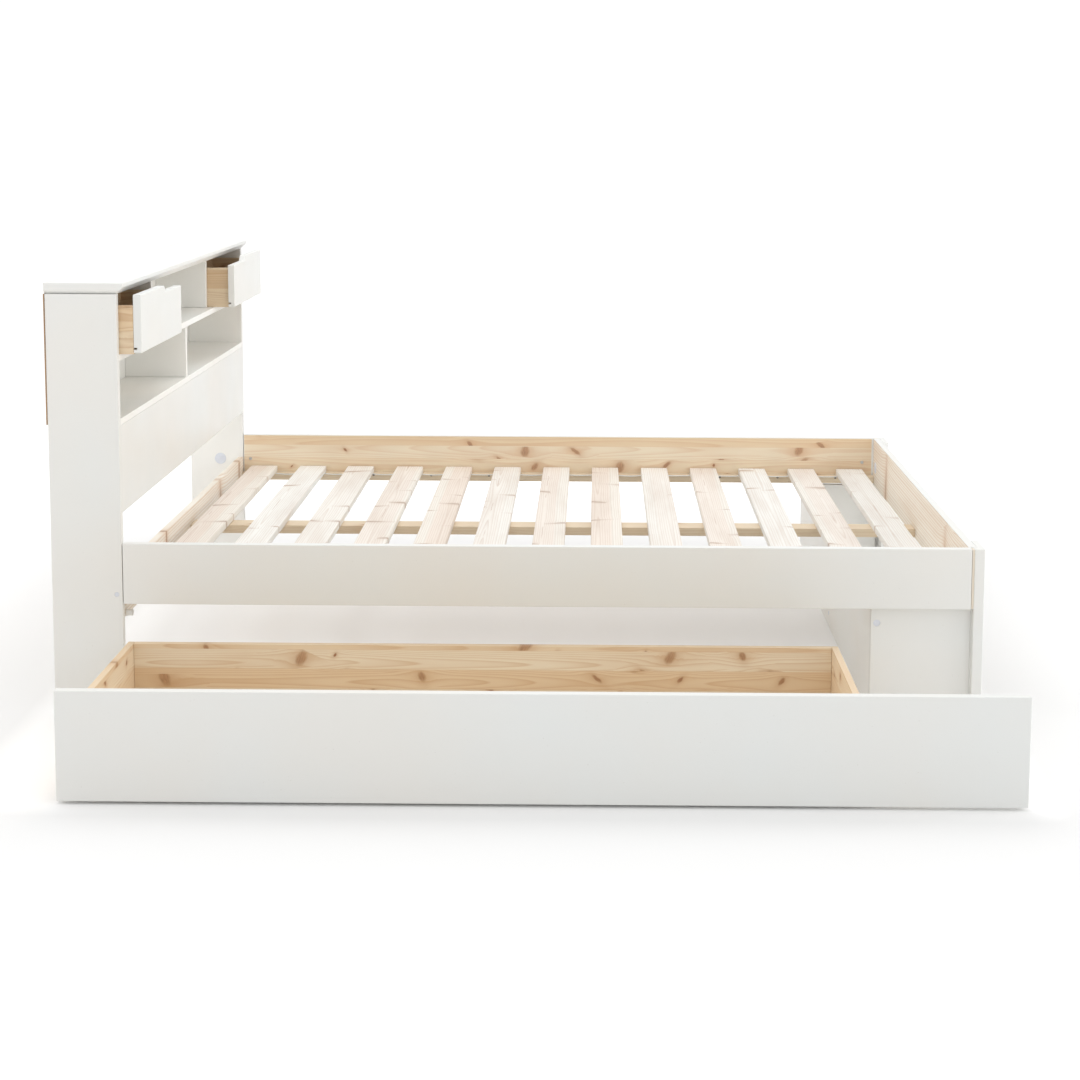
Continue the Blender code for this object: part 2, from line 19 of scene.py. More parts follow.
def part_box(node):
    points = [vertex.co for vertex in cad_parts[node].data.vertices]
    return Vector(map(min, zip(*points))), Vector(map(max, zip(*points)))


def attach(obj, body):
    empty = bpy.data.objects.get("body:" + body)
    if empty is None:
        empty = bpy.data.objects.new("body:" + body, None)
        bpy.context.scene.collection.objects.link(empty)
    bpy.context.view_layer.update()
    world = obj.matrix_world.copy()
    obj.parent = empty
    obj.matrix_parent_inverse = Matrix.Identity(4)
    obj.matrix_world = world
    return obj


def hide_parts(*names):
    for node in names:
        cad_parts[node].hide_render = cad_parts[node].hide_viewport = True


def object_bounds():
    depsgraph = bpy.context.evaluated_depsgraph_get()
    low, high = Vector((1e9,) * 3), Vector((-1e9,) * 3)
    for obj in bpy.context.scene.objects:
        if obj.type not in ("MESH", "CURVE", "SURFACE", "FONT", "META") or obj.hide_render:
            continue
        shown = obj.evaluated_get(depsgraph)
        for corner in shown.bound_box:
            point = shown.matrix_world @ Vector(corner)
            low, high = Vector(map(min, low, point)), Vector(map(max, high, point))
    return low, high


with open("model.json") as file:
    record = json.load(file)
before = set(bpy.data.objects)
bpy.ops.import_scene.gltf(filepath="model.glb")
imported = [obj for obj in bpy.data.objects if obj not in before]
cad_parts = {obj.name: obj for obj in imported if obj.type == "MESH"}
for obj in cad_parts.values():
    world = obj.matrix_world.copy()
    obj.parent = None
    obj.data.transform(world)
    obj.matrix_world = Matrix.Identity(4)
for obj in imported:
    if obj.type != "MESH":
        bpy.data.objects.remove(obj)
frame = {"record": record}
cad_low, cad_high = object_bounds()

BODIES = frame["record"]["behaviour"]["bodies"]
BODY_OF = {node: body for body, nodes in BODIES.items() for node in nodes}

# Camera
CAMERA_PLACE = (0.1689, -4.4321, 1.3495)
CAMERA_YAW = math.radians(-0.314)
CAMERA_PITCH = math.radians(-6.151)
CAMERA_ROLL = math.radians(0.298)
CAMERA_LENS = 60.214
CAMERA_SHIFT = (-0.04, -0.21)

# Boards
PAINT_ROUND = 0.0016  # edge radii
PINE_ROUND = 0.0012
SLAT_ROUND = 0.0030
SHEET_ROUND = 0.0006  # hardboard and plywood
EDGE_STEPS = 3
GAP = 0.0003  # open gap between neighbouring pieces
CUTTER_OVERRUN = 0.010  # how far a cutter stands out of what it cuts
PLANK_STRIDE = 40.0  # timber from the start of one board to the next
AXES = {"x": (1, 0, 0), "y": (0, 1, 0), "z": (0, 0, 1)}
SIDES = ("near", "far")

# Headboard
TOP_OVERHANG = 0.015
TOP_END_CHAMFER = 0.008
NOTCH_WIDTH = 0.157
NOTCH_DEPTH = 0.015
GROOVE_DEPTH = 0.008
HEAD_CAP_INSET = 0.013  # small cap on an end panel, back from the front edge
HEAD_CAP_HEIGHT = 0.272
HEAD_BOLT_INSET = 0.070  # bolt covers inside the end panels, back from the front edge
TACK_RADIUS = 0.0024
TACK_DEPTH = 0.0006
TACK_COLUMNS = 12  # tacks along the back panel's top and bottom edges
TACK_ROWS = 4  # spaces between tacks up its ends
TACK_CORNER = 0.030  # first and last tack from the panel's ends
TACK_EDGE = 0.008  # in from the panel's top and bottom edges, and from its ends
TACK_END = 0.009

# Bed frame
BOLT_HEIGHT = 0.3150
NUT_RADIUS = 0.0050
NUT_DEPTH = 0.012
NUT_FROM_HEAD = 0.0205  # barrel nuts from the rail's head end and from the footboard
NUT_FROM_FOOT = 0.034
NUT_REACH = 0.0140  # faces this near to a nut are in its hole
PAINTED_END = 0.006  # a rail's inner face is painted from here to the footboard
FOOT_CAP_INSET = 0.045  # bolt covers on the footboard, from its ends
FOOT_CAP_DROP = 0.008
TONGUE_GAP = 0.0012  # open line between a rail's end and the post's tongue
TONGUE_SPAN = (0.12, 0.90)  # the tongue's faces, as shares of the rail's thickness
FILLER_CAP_INSET = 0.0135
FILLER_CAP_HEIGHT = 0.212
GUIDE_CAP_SHIFT = 0.014  # small cap on the guide panel, off its middle
GUIDE_CAP_HEIGHT = 0.037
SLAT_TURN = math.radians(0.10)  # most that a slat lies askew and out of place
SLAT_SHIFT = 0.0012

# Fittings
LARGE_CAP = 0.0170  # radii of the cover caps
FILLER_CAP = 0.0078
SMALL_CAP = 0.0054
CAP_HEIGHT = 0.0014
LOW_CAP_HEIGHT = 0.0012
CAP_RECESS = 0.0014
SCREW_RADIUS = 0.0036
SCREW_HEAD = SCREW_RADIUS - 0.0002
LEDGER_SCREW_PITCH = 0.175
LEDGER_SCREW_START = 0.0485  # first screw from the ledger's head end
LEDGER_SCREW_END = 0.03  # least distance of the last one from the foot end
LEDGER_SCREW_DROP = 0.0055  # below the ledger's top
LEDGER_SCREW_SINK = 0.0012
TRUNDLE_SCREW_INSET = 0.012  # an end board's first screws, behind the trundle's front
SCREW_SHARES = (0.2, 0.5, 0.8)  # heights of a row of screws, as shares of its board's
DRAWER_SCREW_SHARES = (0.25, 0.75)
TAPE_WIDTH = 0.020
TAPE_THICKNESS = 0.0008
TAPE_INSET = 0.0015  # the tape's middle line, inward of the ledger's edge
TAPE_DROP = 0.0005  # below the slats
TAPE_HOLD = 0.004  # held from here to the slat's edge
TAPE_SAG = (0.0005, 0.0035)

# Casters
PLATE = 0.002  # the bracket's steel
EAR_PLAY = 0.0015  # wheel to the bracket's ears
EAR_ROUND = 0.009
EAR_DROP = 0.0065  # how far the ears reach below the axle
WHEEL_SPOKES = 6

# Studio
FLOOR_REACH = 30.0
FLOOR_SHADE_RING = 0.86  # albedo of the floor in a ring round the bed, darker than the rest: painted shade
# painted light: how strongly the floor glows further from the bed
FLOOR_GLOW = 0.22
WORLD_BEHIND = 1.04  # brightness of the surroundings behind the bed and in front of it
WORLD_FRONT = 0.84
WORLD_TURN = (0.62, 0.90)  # directions along Y between which one becomes the other
LAMPS = (  # place, target, size, watts and tint
    ("overhead_softbox", (-0.5, 0.5, 3.6), (-0.2, 0.3, 0.2), (3.4, 3.0), 43.0, (1.0, 0.995, 0.99)),
    ("right_softbox", (4.2, -0.8, 1.6), (-0.9, 0.3, 0.6), (2.4, 2.2), 47.0, (1.0, 0.99, 0.97)),
    ("left_softbox", (-4.6, -0.6, 2.3), (0.6, 0.0, 0.2), (2.4, 2.2), 38.0, (1.0, 0.99, 0.97)))

RANDOM = random.Random(7)
BOARD_NUMBERS = itertools.count(1)


# ---- materials

class Look:
    """A material under construction: short calls that add nodes and wire them up."""

    def __init__(self, name):
        self.material = bpy.data.materials.new(name)
        self.material.use_nodes = True
        self.tree = self.material.node_tree
        self.shader = self.tree.nodes["Principled BSDF"]

    def feed(self, socket, value):
        """Wire a socket or set its value."""
        if isinstance(value, bpy.types.NodeSocket):
            self.tree.links.new(value, socket)
        elif value is not None:
            socket.default_value = value

    def node(self, kind, values=(), **settings):
        """A node with settings, and values for its inputs by name or number."""
        made = self.tree.nodes.new("ShaderNode" + kind)
        for name, setting in settings.items():
            setattr(made, name, setting)
        for key, value in dict(values).items():
            self.feed(made.inputs[key], value)
        return made

    def calculate(self, operation, *values, clamp=False):
        """One or more values through a math node's operation."""
        made = self.node("Math", dict(enumerate(values)), operation=operation, use_clamp=clamp)
        return made.outputs[0]

    plus = functools.partialmethod(calculate, "ADD")
    minus = functools.partialmethod(calculate, "SUBTRACT")
    times = functools.partialmethod(calculate, "MULTIPLY")
    over = functools.partialmethod(calculate, "DIVIDE")
    power = functools.partialmethod(calculate, "POWER")

    def swing(self, value, reach):
        """A value from 0 to 1, turned into one from minus half the reach to plus half of it."""
        return self.times(self.minus(value, 0.5), reach)

    def bell(self, distance, fall):
        """1 at no distance, and less further off, as a bell curve."""
        return self.calculate("EXPONENT", self.times(self.power(distance, 2.0), -fall))

    def vector(self, x=0.0, y=0.0, z=0.0):
        """A vector from its three parts."""
        return self.node("CombineXYZ", {0: x, 1: y, 2: z}).outputs[0]

    def split(self, vector):
        """The three parts of a vector."""
        return self.node("SeparateXYZ", {0: vector}).outputs

    def length(self, x, y):
        """Distance of a flat vector's end."""
        return self.node("VectorMath", {0: self.vector(x, y)}, operation="LENGTH").outputs["Value"]

    def place(self):
        """The place on the object."""
        return self.node("TexCoord").outputs["Object"]

    def grain(self):
        """The place in the plank: along, across and through it."""
        return self.split(self.node("Attribute", attribute_name="grain").outputs["Vector"])

    def noise(self, vector, scale, detail=2.0, roughness=0.5):
        """Noise from about 0 to 1."""
        values = {"Vector": vector, "Scale": scale, "Detail": detail, "Roughness": roughness}
        return self.node("TexNoise", values).outputs[0]

    def span(self, value, low, high, to_low=0.0, to_high=1.0, smooth=False):
        """Map low..high to to_low..to_high, held at the ends."""
        values = {0: value, 1: low, 2: high, 3: to_low, 4: to_high}
        kind = "SMOOTHSTEP" if smooth else "LINEAR"
        return self.node("MapRange", values, interpolation_type=kind).outputs[0]

    def mix(self, factor, first, second, blend="MIX"):
        """Mix two colours, given as sockets or as RGB."""
        made = self.node("Mix", data_type="RGBA", blend_type=blend)
        rgba = [(*c, 1.0) if isinstance(c, tuple) else c for c in (first, second)]
        self.feed(made.inputs["Factor"], factor)
        self.feed(made.inputs[6], rgba[0])
        self.feed(made.inputs[7], rgba[1])
        return made.outputs[2]

    def bump(self, height, strength, distance):
        """Roughen the shaded surface."""
        values = {"Height": height, "Strength": strength, "Distance": distance}
        self.feed(self.shader.inputs["Normal"], self.node("Bump", values).outputs[0])

    def finish(self, colour, roughness, **constants):
        """Wire up the shader, set its constants and hand over the material."""
        self.feed(self.shader.inputs["Base Color"], colour)
        self.feed(self.shader.inputs["Roughness"], roughness)
        for name, value in constants.items():
            self.shader.inputs[name.replace("_", " ")].default_value = value
        return self.material


def paint_look(name, tint, roughness=0.42):
    """Sprayed satin paint: orange peel, cloudy tint, a little dust and a faint wave in the surface.
    """
    look = Look(name)
    place = look.place()
    cloud = look.noise(place, 2.3, 3.0)
    warm = tuple(c * f for c, f in zip(tint, (1.0, 0.985, 0.965)))
    cool = tuple(c * f for c, f in zip(tint, (0.985, 1.0, 1.005)))
    colour = look.mix(look.span(cloud, 0.35, 0.65), warm, cool)
    speck = look.noise(place, 240.0, 2.0)
    colour = look.mix(look.span(speck, 0.72, 0.80, 0.0, 0.35), colour, (0.55, 0.53, 0.48))
    peel = look.noise(place, 900.0, 2.0)
    wave = look.noise(place, 45.0, 2.0)
    look.bump(look.plus(look.times(peel, 0.35), wave), 0.18, 0.0006)
    rough = look.span(look.noise(place, 14.0, 4.0), 0.3, 0.7, roughness - 0.07, roughness + 0.07)
    return look.finish(colour, rough)


def pine_look(name, light, dark, knot, strip, knots=0.3, contrast=0.6, ring=0.0042,
              shape=(0.75, 0.55), slant=2.2, sizes=(0.0020, 0.0090), cell=(0.21, 0.06),
              pull=0.9, pith=None, depth=(-0.022, -0.060), heart=None, crack=False):
    """Sawn pine from tree rings in the plank's own space, glued up from strips, with knots.

    strip is the width of the glued strips, light and dark the colours of early and late wood, and
    ring the distance between rings. knots is the share of cells that hold a knot; shape squeezes
    it along and across the grain, slant leans it and pull bends the rings round it. pith and depth
    say where the middle of the tree runs, heart tints the wood close to it and crack draws it.
    """
    look = Look(name)
    x, y, z = look.grain()
    strip_number = look.calculate("FLOOR", look.over(y, strip))
    board_number = look.calculate("FLOOR", look.over(x, PLANK_STRIDE))
    chance = look.node("TexWhiteNoise", {"Vector": look.vector(strip_number, board_number, 3.0)},
                       noise_dimensions="3D").outputs["Color"]
    first, second, third = look.split(chance)
    x = look.plus(x, look.times(first, 11.0))
    y = look.minus(y, look.times(look.plus(strip_number, 0.5), strip))

    # Knots: one chance per cell of the face, pulled out along the grain
    cell_long, cell_wide = cell[0], min(strip, cell[1])
    flat = look.vector(look.over(x, cell_long),
                       look.plus(look.over(y, cell_wide), look.times(strip_number, 3.7)))
    cells = look.node("TexVoronoi", {"Vector": flat, "Scale": 1.0, "Randomness": 0.85},
                      voronoi_dimensions="2D")
    at = look.split(look.node("VectorMath", {0: flat, 1: cells.outputs["Position"]},
                              operation="SUBTRACT").outputs[0])
    size, exists, lean = look.split(cells.outputs["Color"])
    ragged = look.node("TexNoise", {"Vector": look.vector(x, y, z), "Scale": 85.0, "Detail": 3.0})
    rag_x, rag_y, _ = look.split(ragged.outputs["Color"])
    dx = look.plus(look.times(at[0], cell_long), look.swing(rag_x, 0.006))
    dy = look.plus(look.times(at[1], cell_wide), look.swing(rag_y, 0.005))
    dx = look.plus(dx, look.times(dy, look.swing(lean, slant)))
    size = look.power(size, 1.4)
    radius = look.span(size, 0.0, 1.0, *sizes)
    absent = look.times(look.calculate("LESS_THAN", exists, 1.0 - knots), 50.0)

    def reach(stretch):
        """Distance to the knot in knot radii, with the grain direction shortened."""
        away = look.length(look.times(dx, shape[0] * stretch), look.times(dy, shape[1]))
        return look.plus(look.over(away, radius), absent)

    near = reach(1.0)
    y_grain = look.minus(y, look.times(look.times(dy, look.bell(reach(0.34), 0.22)), pull))

    # Rings round a pith that wanders under the face
    slow = look.vector(look.times(x, 1.1), look.times(y, 5.0), strip_number)
    sway = look.minus(look.noise(slow, 1.0, 2.0), 0.5)
    slower = look.vector(look.times(x, 0.8), 9.0, strip_number)
    drift = look.swing(look.noise(slower, 1.0, 1.0), 0.055)
    pith_y = look.swing(second, pith or strip * 1.2)
    pith_z = look.span(third, 0.0, 1.0, *depth)
    ry = look.plus(look.minus(y_grain, pith_y), look.times(sway, 0.016))
    rz = look.plus(look.minus(z, pith_z), drift)
    distance = look.length(ry, rz)
    uneven = look.noise(look.vector(look.times(distance, 55.0), strip_number), 1.0, 1.0)
    year = look.calculate("FRACT", look.plus(look.over(distance, ring), look.times(uneven, 1.6)))
    late = look.times(look.power(year, 2.6), look.span(year, 0.9, 1.0, 1.0, 0.0))
    fibre_place = look.vector(look.times(x, 14.0), look.times(y_grain, 700.0), look.times(z, 700.0))
    fibre = look.noise(fibre_place, 1.0, 3.0, 0.6)
    tone = look.plus(look.times(late, contrast), look.swing(fibre, 0.30), clamp=True)
    colour = look.mix(tone, light, dark)

    # Redder heartwood, and the crack that dries open along the pith
    if heart:
        edge = look.plus(distance, look.times(sway, 0.012))
        core = look.span(edge, 0.031, 0.035, 1.0, 0.0, smooth=True)
        colour = look.mix(look.times(core, look.span(first, 0.2, 0.9)), colour,
                          look.mix(1.0, colour, heart, "MULTIPLY"))
    if crack:
        off_pith = look.calculate("ABSOLUTE", look.plus(ry, look.swing(rag_x, 0.004)))
        line = look.span(off_pith, 0.0004, 0.0012, 1.0, 0.0)
        stretches = look.noise(look.vector(look.times(x, 6.0), strip_number), 1.0, 1.0)
        parted = look.span(stretches, 0.52, 0.58, 0.0, 0.6)
        shallow = look.span(third, 0.55, 0.45, 0.0, 1.0)
        colour = look.mix(look.times(line, look.times(parted, shallow)), colour, knot)

    # Each strip has a shade of its own, every other one darker, and a thin seam to the next
    odd = look.times(look.calculate("FRACT", look.times(strip_number, 0.5)), 1.1)
    shade = look.plus(odd, look.times(first, 0.45), clamp=True)
    colour = look.mix(shade, colour, look.mix(1.0, colour, (0.93, 0.83, 0.72), "MULTIPLY"))
    wide = look.vector(look.times(x, 2.5), look.times(y, 14.0), strip_number)
    colour = look.mix(look.span(look.noise(wide, 1.0, 3.0), 0.45, 0.75, 0.0, 0.35), colour, dark)
    seam = look.span(look.calculate("ABSOLUTE", y), strip / 2 - 0.0006, strip / 2, 0.0, 0.35)
    colour = look.mix(seam, colour, dark)

    # Colour of the knots: an amber halo, a dark tail along the grain and a streaked middle
    amber = tuple((d * 3 + k) / 4 for d, k in zip(dark, knot))
    colour = look.mix(look.times(look.bell(near, 0.30), 0.62), colour, amber)
    tail = look.times(look.bell(reach(0.24), 0.9), look.span(lean, 0.2, 0.8, 0.10, 0.50))
    colour = look.mix(tail, colour, dark)
    pale_knot = tuple((k + d) / 2 for k, d in zip(knot, dark))
    tight = look.mix(look.span(size, 0.05, 0.5), knot, pale_knot)
    streaks = look.vector(look.times(dx, 260.0), look.times(dy, 60.0), strip_number)
    streak = look.span(look.noise(streaks, 1.0, 3.0), 0.35, 0.70, 0.0, 0.75)
    inside = look.mix(streak, tight, tuple(c * 0.60 for c in knot))
    solid = look.times(look.span(near, 0.55, 1.25, 1.0, 0.0, smooth=True),
                       look.span(size, 0.0, 0.8, 0.95, 0.78))
    colour = look.mix(solid, colour, inside)

    look.bump(look.plus(look.times(late, 0.6), look.times(fibre, 0.7)), 0.25, 0.0005)
    return look.finish(colour, look.span(fibre, 0.2, 0.8, 0.50, 0.66))


def hardboard_look():
    """Brown pressed fibre board with a smooth face."""
    look = Look("hardboard_brown")
    place = look.place()
    chips = look.noise(place, 260.0, 5.0, 0.7)
    cloud = look.noise(place, 5.0, 3.0)
    colour = look.mix(look.span(chips, 0.3, 0.7), (0.30, 0.165, 0.075), (0.43, 0.26, 0.13))
    colour = look.mix(look.span(cloud, 0.4, 0.7, 0.0, 0.4), colour, (0.24, 0.13, 0.06))
    look.bump(chips, 0.25, 0.0004)
    return look.finish(colour, look.span(chips, 0.3, 0.7, 0.45, 0.65))


def plywood_look():
    """Birch plywood: wide soft figure on the face."""
    look = Look("plywood_birch")
    x, y, z = look.grain()
    wide = look.vector(look.times(x, 1.4), look.times(y, 11.0))
    figure = look.calculate("FRACT", look.times(look.noise(wide, 1.0, 3.0), 9.0))
    fine = look.vector(look.times(x, 25.0), look.times(y, 600.0), look.times(z, 600.0))
    fibre = look.noise(fine, 1.0, 3.0)
    colour = look.mix(look.times(look.power(figure, 2.0), 0.35),
                      (0.78, 0.64, 0.45), (0.62, 0.45, 0.28))
    plies = look.calculate("FRACT", look.over(z, 0.003))
    glue = look.span(look.calculate("ABSOLUTE", look.minus(plies, 0.5)), 0.40, 0.5, 0.0, 0.25)
    colour = look.mix(glue, colour, (0.40, 0.25, 0.13))
    look.bump(fibre, 0.2, 0.0004)
    return look.finish(colour, look.span(fibre, 0.2, 0.8, 0.5, 0.65))


def metal_look(name, tint, roughness):
    """Zinc plate: fine brushed scratches and slightly cloudy passivation."""
    look = Look(name)
    place = look.place()
    brushed = look.node("Mapping", {"Vector": place, "Scale": (900.0, 60.0, 900.0)}).outputs[0]
    scratch = look.noise(brushed, 1.0, 3.0)
    cloud = look.noise(place, 90.0, 3.0)
    dull = tuple(c * 0.7 for c in tint)
    colour = look.mix(look.span(cloud, 0.35, 0.7, 0.0, 0.5), tint, dull)
    look.bump(scratch, 0.12, 0.0002)
    rough = look.span(scratch, 0.3, 0.7, roughness - 0.08, roughness + 0.10)
    return look.finish(colour, rough, Metallic=1.0)


def plastic_look(name, tint, roughness):
    """Moulded plastic with a fine spark-eroded texture."""
    look = Look(name)
    place = look.place()
    pebble = look.noise(place, 1500.0, 2.0)
    cloud = look.noise(place, 60.0, 2.0)
    shade = tuple(c * 0.93 for c in tint)
    colour = look.mix(look.span(cloud, 0.35, 0.65), tint, shade)
    look.bump(pebble, 0.2, 0.0003)
    return look.finish(colour, look.span(pebble, 0.3, 0.7, roughness - 0.05, roughness + 0.08))


def webbing_look():
    """Woven polyester tape: a plain weave with painted shade in its slightly darker valleys."""
    look = Look("white_webbing")
    x, y, _ = look.grain()
    warp = look.calculate("SINE", look.times(x, 2 * math.pi / 0.0016))
    weft = look.calculate("SINE", look.times(y, 2 * math.pi / 0.0012))
    weave = look.times(warp, weft)
    # painted shade: the valleys of the weave are darker
    colour = look.mix(look.span(weave, -1.0, 1.0), (0.62, 0.61, 0.58), (0.86, 0.86, 0.83))
    look.bump(weave, 0.4, 0.0003)
    return look.finish(colour, look.span(weave, -1.0, 1.0, 0.9, 0.7), Sheen_Weight=0.2)


def floor_look():
    """A matt white studio floor with painted shade in a darker ring round the bed, and painted light
    further off, where it glows a little like a lit sweep.
    """
    look = Look("studio_floor")
    place = look.place()
    x, y, _ = look.split(place)
    beside = []
    for value, low, high in ((x, cad_low.x, cad_high.x), (y, cad_low.y, cad_high.y)):
        from_middle = look.calculate("ABSOLUTE", look.minus(value, (low + high) / 2))
        outside = look.minus(from_middle, (high - low) / 2)
        beside.append(look.calculate("MAXIMUM", outside, 0.0))
    away = look.length(*beside)
    cloud = look.noise(place, 0.8, 3.0)
    white = look.mix(look.span(cloud, 0.3, 0.7), (0.965, 0.965, 0.965), (0.98, 0.98, 0.98))
    # painted shade: the floor is darker in a ring round the bed, and white again further off
    colour = look.mix(look.span(away, 0.0, 0.06), white, (FLOOR_SHADE_RING, FLOOR_SHADE_RING, FLOOR_SHADE_RING))
    colour = look.mix(look.span(away, 0.3, 1.2, smooth=True), colour, white)
    # painted light: further from the bed the floor glows, though it is no lamp
    look.shader.inputs["Emission Color"].default_value = (1.0, 1.0, 1.0, 1.0)
    glow = look.span(away, 0.15, 1.2, 0.0, FLOOR_GLOW, smooth=True)
    look.feed(look.shader.inputs["Emission Strength"], glow)
    return look.finish(colour, look.span(cloud, 0.3, 0.7, 0.75, 0.85))


PANEL_PAINT = paint_look("paint_satin_white", (0.800, 0.800, 0.780))
# painted light: a brighter copy of the white paint for faces that fall in shade, inside the
# headboard and under the bed
PAINTED_LIGHT_WHITE = paint_look("paint_white_painted_light", (0.900, 0.893, 0.862))
RAIL_PINE = pine_look("pine_rail", (0.865, 0.775, 0.615), (0.68, 0.44, 0.26), (0.36, 0.155, 0.08),
                      0.040, knots=0.46, contrast=0.50, ring=0.0034, sizes=(0.0020, 0.0108))
BOX_PINE = pine_look("pine_trundle_box", (0.85, 0.760, 0.61), (0.62, 0.41, 0.23),
                     (0.37, 0.165, 0.08), 0.045, knots=0.48, contrast=0.66, ring=0.0023,
                     sizes=(0.0020, 0.0108))
FOOT_PINE = pine_look("pine_footboard", (0.90, 0.860, 0.780), (0.66, 0.47, 0.32),
                      (0.48, 0.28, 0.18), 0.30, knots=0.45, contrast=0.85, ring=0.0085,
                      shape=(0.75, 0.070), slant=0.25, sizes=(0.004, 0.0080), cell=(0.42, 0.30),
                      pull=0.12)
DRAWER_PINE = pine_look("pine_drawer", (0.80, 0.67, 0.49), (0.55, 0.35, 0.19),
                        (0.36, 0.165, 0.08), 0.052, knots=0.62, contrast=0.70, ring=0.0032,
                        sizes=(0.0030, 0.0120))
SLAT_PINE = pine_look("pine_slat", (0.87, 0.868, 0.835), (0.56, 0.44, 0.35),
                      (0.44, 0.27, 0.19), 0.30, knots=0.62, contrast=0.52, ring=0.0060,
                      shape=(1.15, 0.17), slant=0.8, sizes=(0.0012, 0.0064), cell=(0.21, 0.10),
                      pull=0.12, pith=0.045, depth=(-0.009, -0.026), heart=(0.985, 0.930, 0.910),
                      crack=True)
TONGUE_PINE = pine_look("pine_tongue", (0.88, 0.86, 0.80), (0.76, 0.66, 0.54), (0.48, 0.28, 0.18),
                        0.30, knots=0.0, contrast=0.3)
BEAM_PINE = pine_look("pine_beam", (0.76, 0.65, 0.49), (0.62, 0.44, 0.27),
                      (0.36, 0.18, 0.09), 0.20, knots=0.36, contrast=0.55)
HARDBOARD = hardboard_look()
PLYWOOD = plywood_look()
ZINC = metal_look("zinc_plated_steel", (0.70, 0.72, 0.75), 0.30)
DARK_STEEL = metal_look("screw_steel", (0.30, 0.28, 0.26), 0.42)
CAP_PLASTIC = plastic_look("cap_plastic", (0.74, 0.77, 0.84), 0.38)
NYLON = plastic_look("nylon_natural", (0.88, 0.88, 0.86), 0.34)
RUBBER = plastic_look("wheel_tread_grey", (0.36, 0.36, 0.37), 0.6)
WEBBING = webbing_look()


# ---- mesh helpers

def make_object(name, shape, materials):
    """Turn a bmesh into a smooth shaded object."""
    mesh = bpy.data.meshes.new(name)
    shape.normal_update()
    shape.to_mesh(mesh)
    shape.free()
    mesh.shade_smooth()
    for material in materials:
        mesh.materials.append(material)
    piece = bpy.data.objects.new(name, mesh)
    bpy.context.scene.collection.objects.link(piece)
    return piece


def settle(piece, body, nodes=()):
    """Ride a finished piece on its body and hide the CAD nodes that it replaces."""
    weighted = piece.modifiers.new("weighted_normals", "WEIGHTED_NORMAL")
    weighted.keep_sharp = True
    weighted.weight = 100
    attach(piece, body)
    if nodes:
        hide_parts(*nodes)


def round_edges(shape, radius, edges):
    """Round some edges of a bmesh."""
    bmesh.ops.bevel(shape, geom=edges, offset=radius, segments=EDGE_STEPS, profile=0.5,
                    affect="EDGES", clamp_overlap=True)


def add_box(shape, low, high, radius=0.0):
    """Add a box with rounded edges to a bmesh."""
    part = bmesh.new()
    bmesh.ops.create_cube(part, size=1.0)
    size = Vector(high) - Vector(low)
    bmesh.ops.scale(part, vec=size, verts=part.verts)
    bmesh.ops.translate(part, vec=(Vector(high) + Vector(low)) / 2, verts=part.verts)
    if radius:
        round_edges(part, radius, list(part.edges))
    join(shape, part)


def join(shape, part):
    """Move the geometry of one bmesh into another."""
    mesh = bpy.data.meshes.new("joined")
    part.to_mesh(mesh)
    part.free()
    shape.from_mesh(mesh)
    bpy.data.meshes.remove(mesh)


def add_prism(shape, outline, to_point, start, end, radius=0.0):
    """Add a closed prism: an outline in a plane, carried from start to end."""
    part = bmesh.new()
    rings = [[part.verts.new(to_point(u, v, depth)) for u, v in outline] for depth in (start, end)]
    part.faces.new(rings[0])
    part.faces.new(reversed(rings[1]))
    for number in range(len(outline)):
        after = (number + 1) % len(outline)
        part.faces.new((rings[0][number], rings[1][number], rings[1][after], rings[0][after]))
    bmesh.ops.recalc_face_normals(part, faces=part.faces)
    if radius:
        sharp = [e for e in part.edges if e.calc_face_angle(0.0) > math.radians(30)]
        round_edges(part, radius, sharp)
    join(shape, part)


def mirrored(profile):
    """Half a turned profile, with the other half after it."""
    return profile + [(-along, radius) for along, radius in reversed(profile)]


def add_turned(shape, profile, centre, axis, segments):
    """Add a turned solid: profile points are (distance along the axis, radius)."""
    part = bmesh.new()
    turn = Vector((0, 0, 1)).rotation_difference(Vector(axis)).to_matrix().to_4x4()
    place = Matrix.Translation(Vector(centre)) @ turn
    rings = []
    for along, radius in profile:
        if radius <= 0:
            rings.append([part.verts.new(place @ Vector((0, 0, along)))])
            continue
        turns = [2 * math.pi * step / segments for step in range(segments)]
        corners = [(radius * math.cos(t), radius * math.sin(t), along) for t in turns]
        rings.append([part.verts.new(place @ Vector(corner)) for corner in corners])
    closed = len(rings[0]) > 1 and len(rings[-1]) > 1
    pairs = list(zip(rings, rings[1:])) + ([(rings[-1], rings[0])] if closed else [])
    for lower, upper in pairs:
        for step in range(segments):
            after = (step + 1) % segments
            corners = [lower[step % len(lower)], lower[after % len(lower)],
                       upper[after % len(upper)], upper[step % len(upper)]]
            part.faces.new(list(dict.fromkeys(corners)))
    bmesh.ops.recalc_face_normals(part, faces=part.faces)
    join(shape, part)


def paint_faces(piece, rules, inside=None):
    """Give each face that looks along a rule's direction that rule's material, within a limit."""
    for face in piece.data.polygons:
        for direction, index in rules:
            if face.normal.dot(Vector(direction)) > 0.98:
                if inside is None or inside(face.center):
                    face.material_index = index


def set_grain(piece, along, across, origin, shift=(0.0, 0.0, 0.0)):
    """Write the grain attribute: along, across and through the plank, from its origin."""
    through = Vector(along).cross(Vector(across))
    values = []
    for vertex in piece.data.vertices:
        from_origin = vertex.co - Vector(origin)
        values += [from_origin.dot(Vector(along)) + shift[0],
                   from_origin.dot(Vector(across)) + shift[1],
                   from_origin.dot(through) + shift[2]]
    attribute = piece.data.attributes.new("grain", "FLOAT_VECTOR", "POINT")
    attribute.data.foreach_set("vector", values)


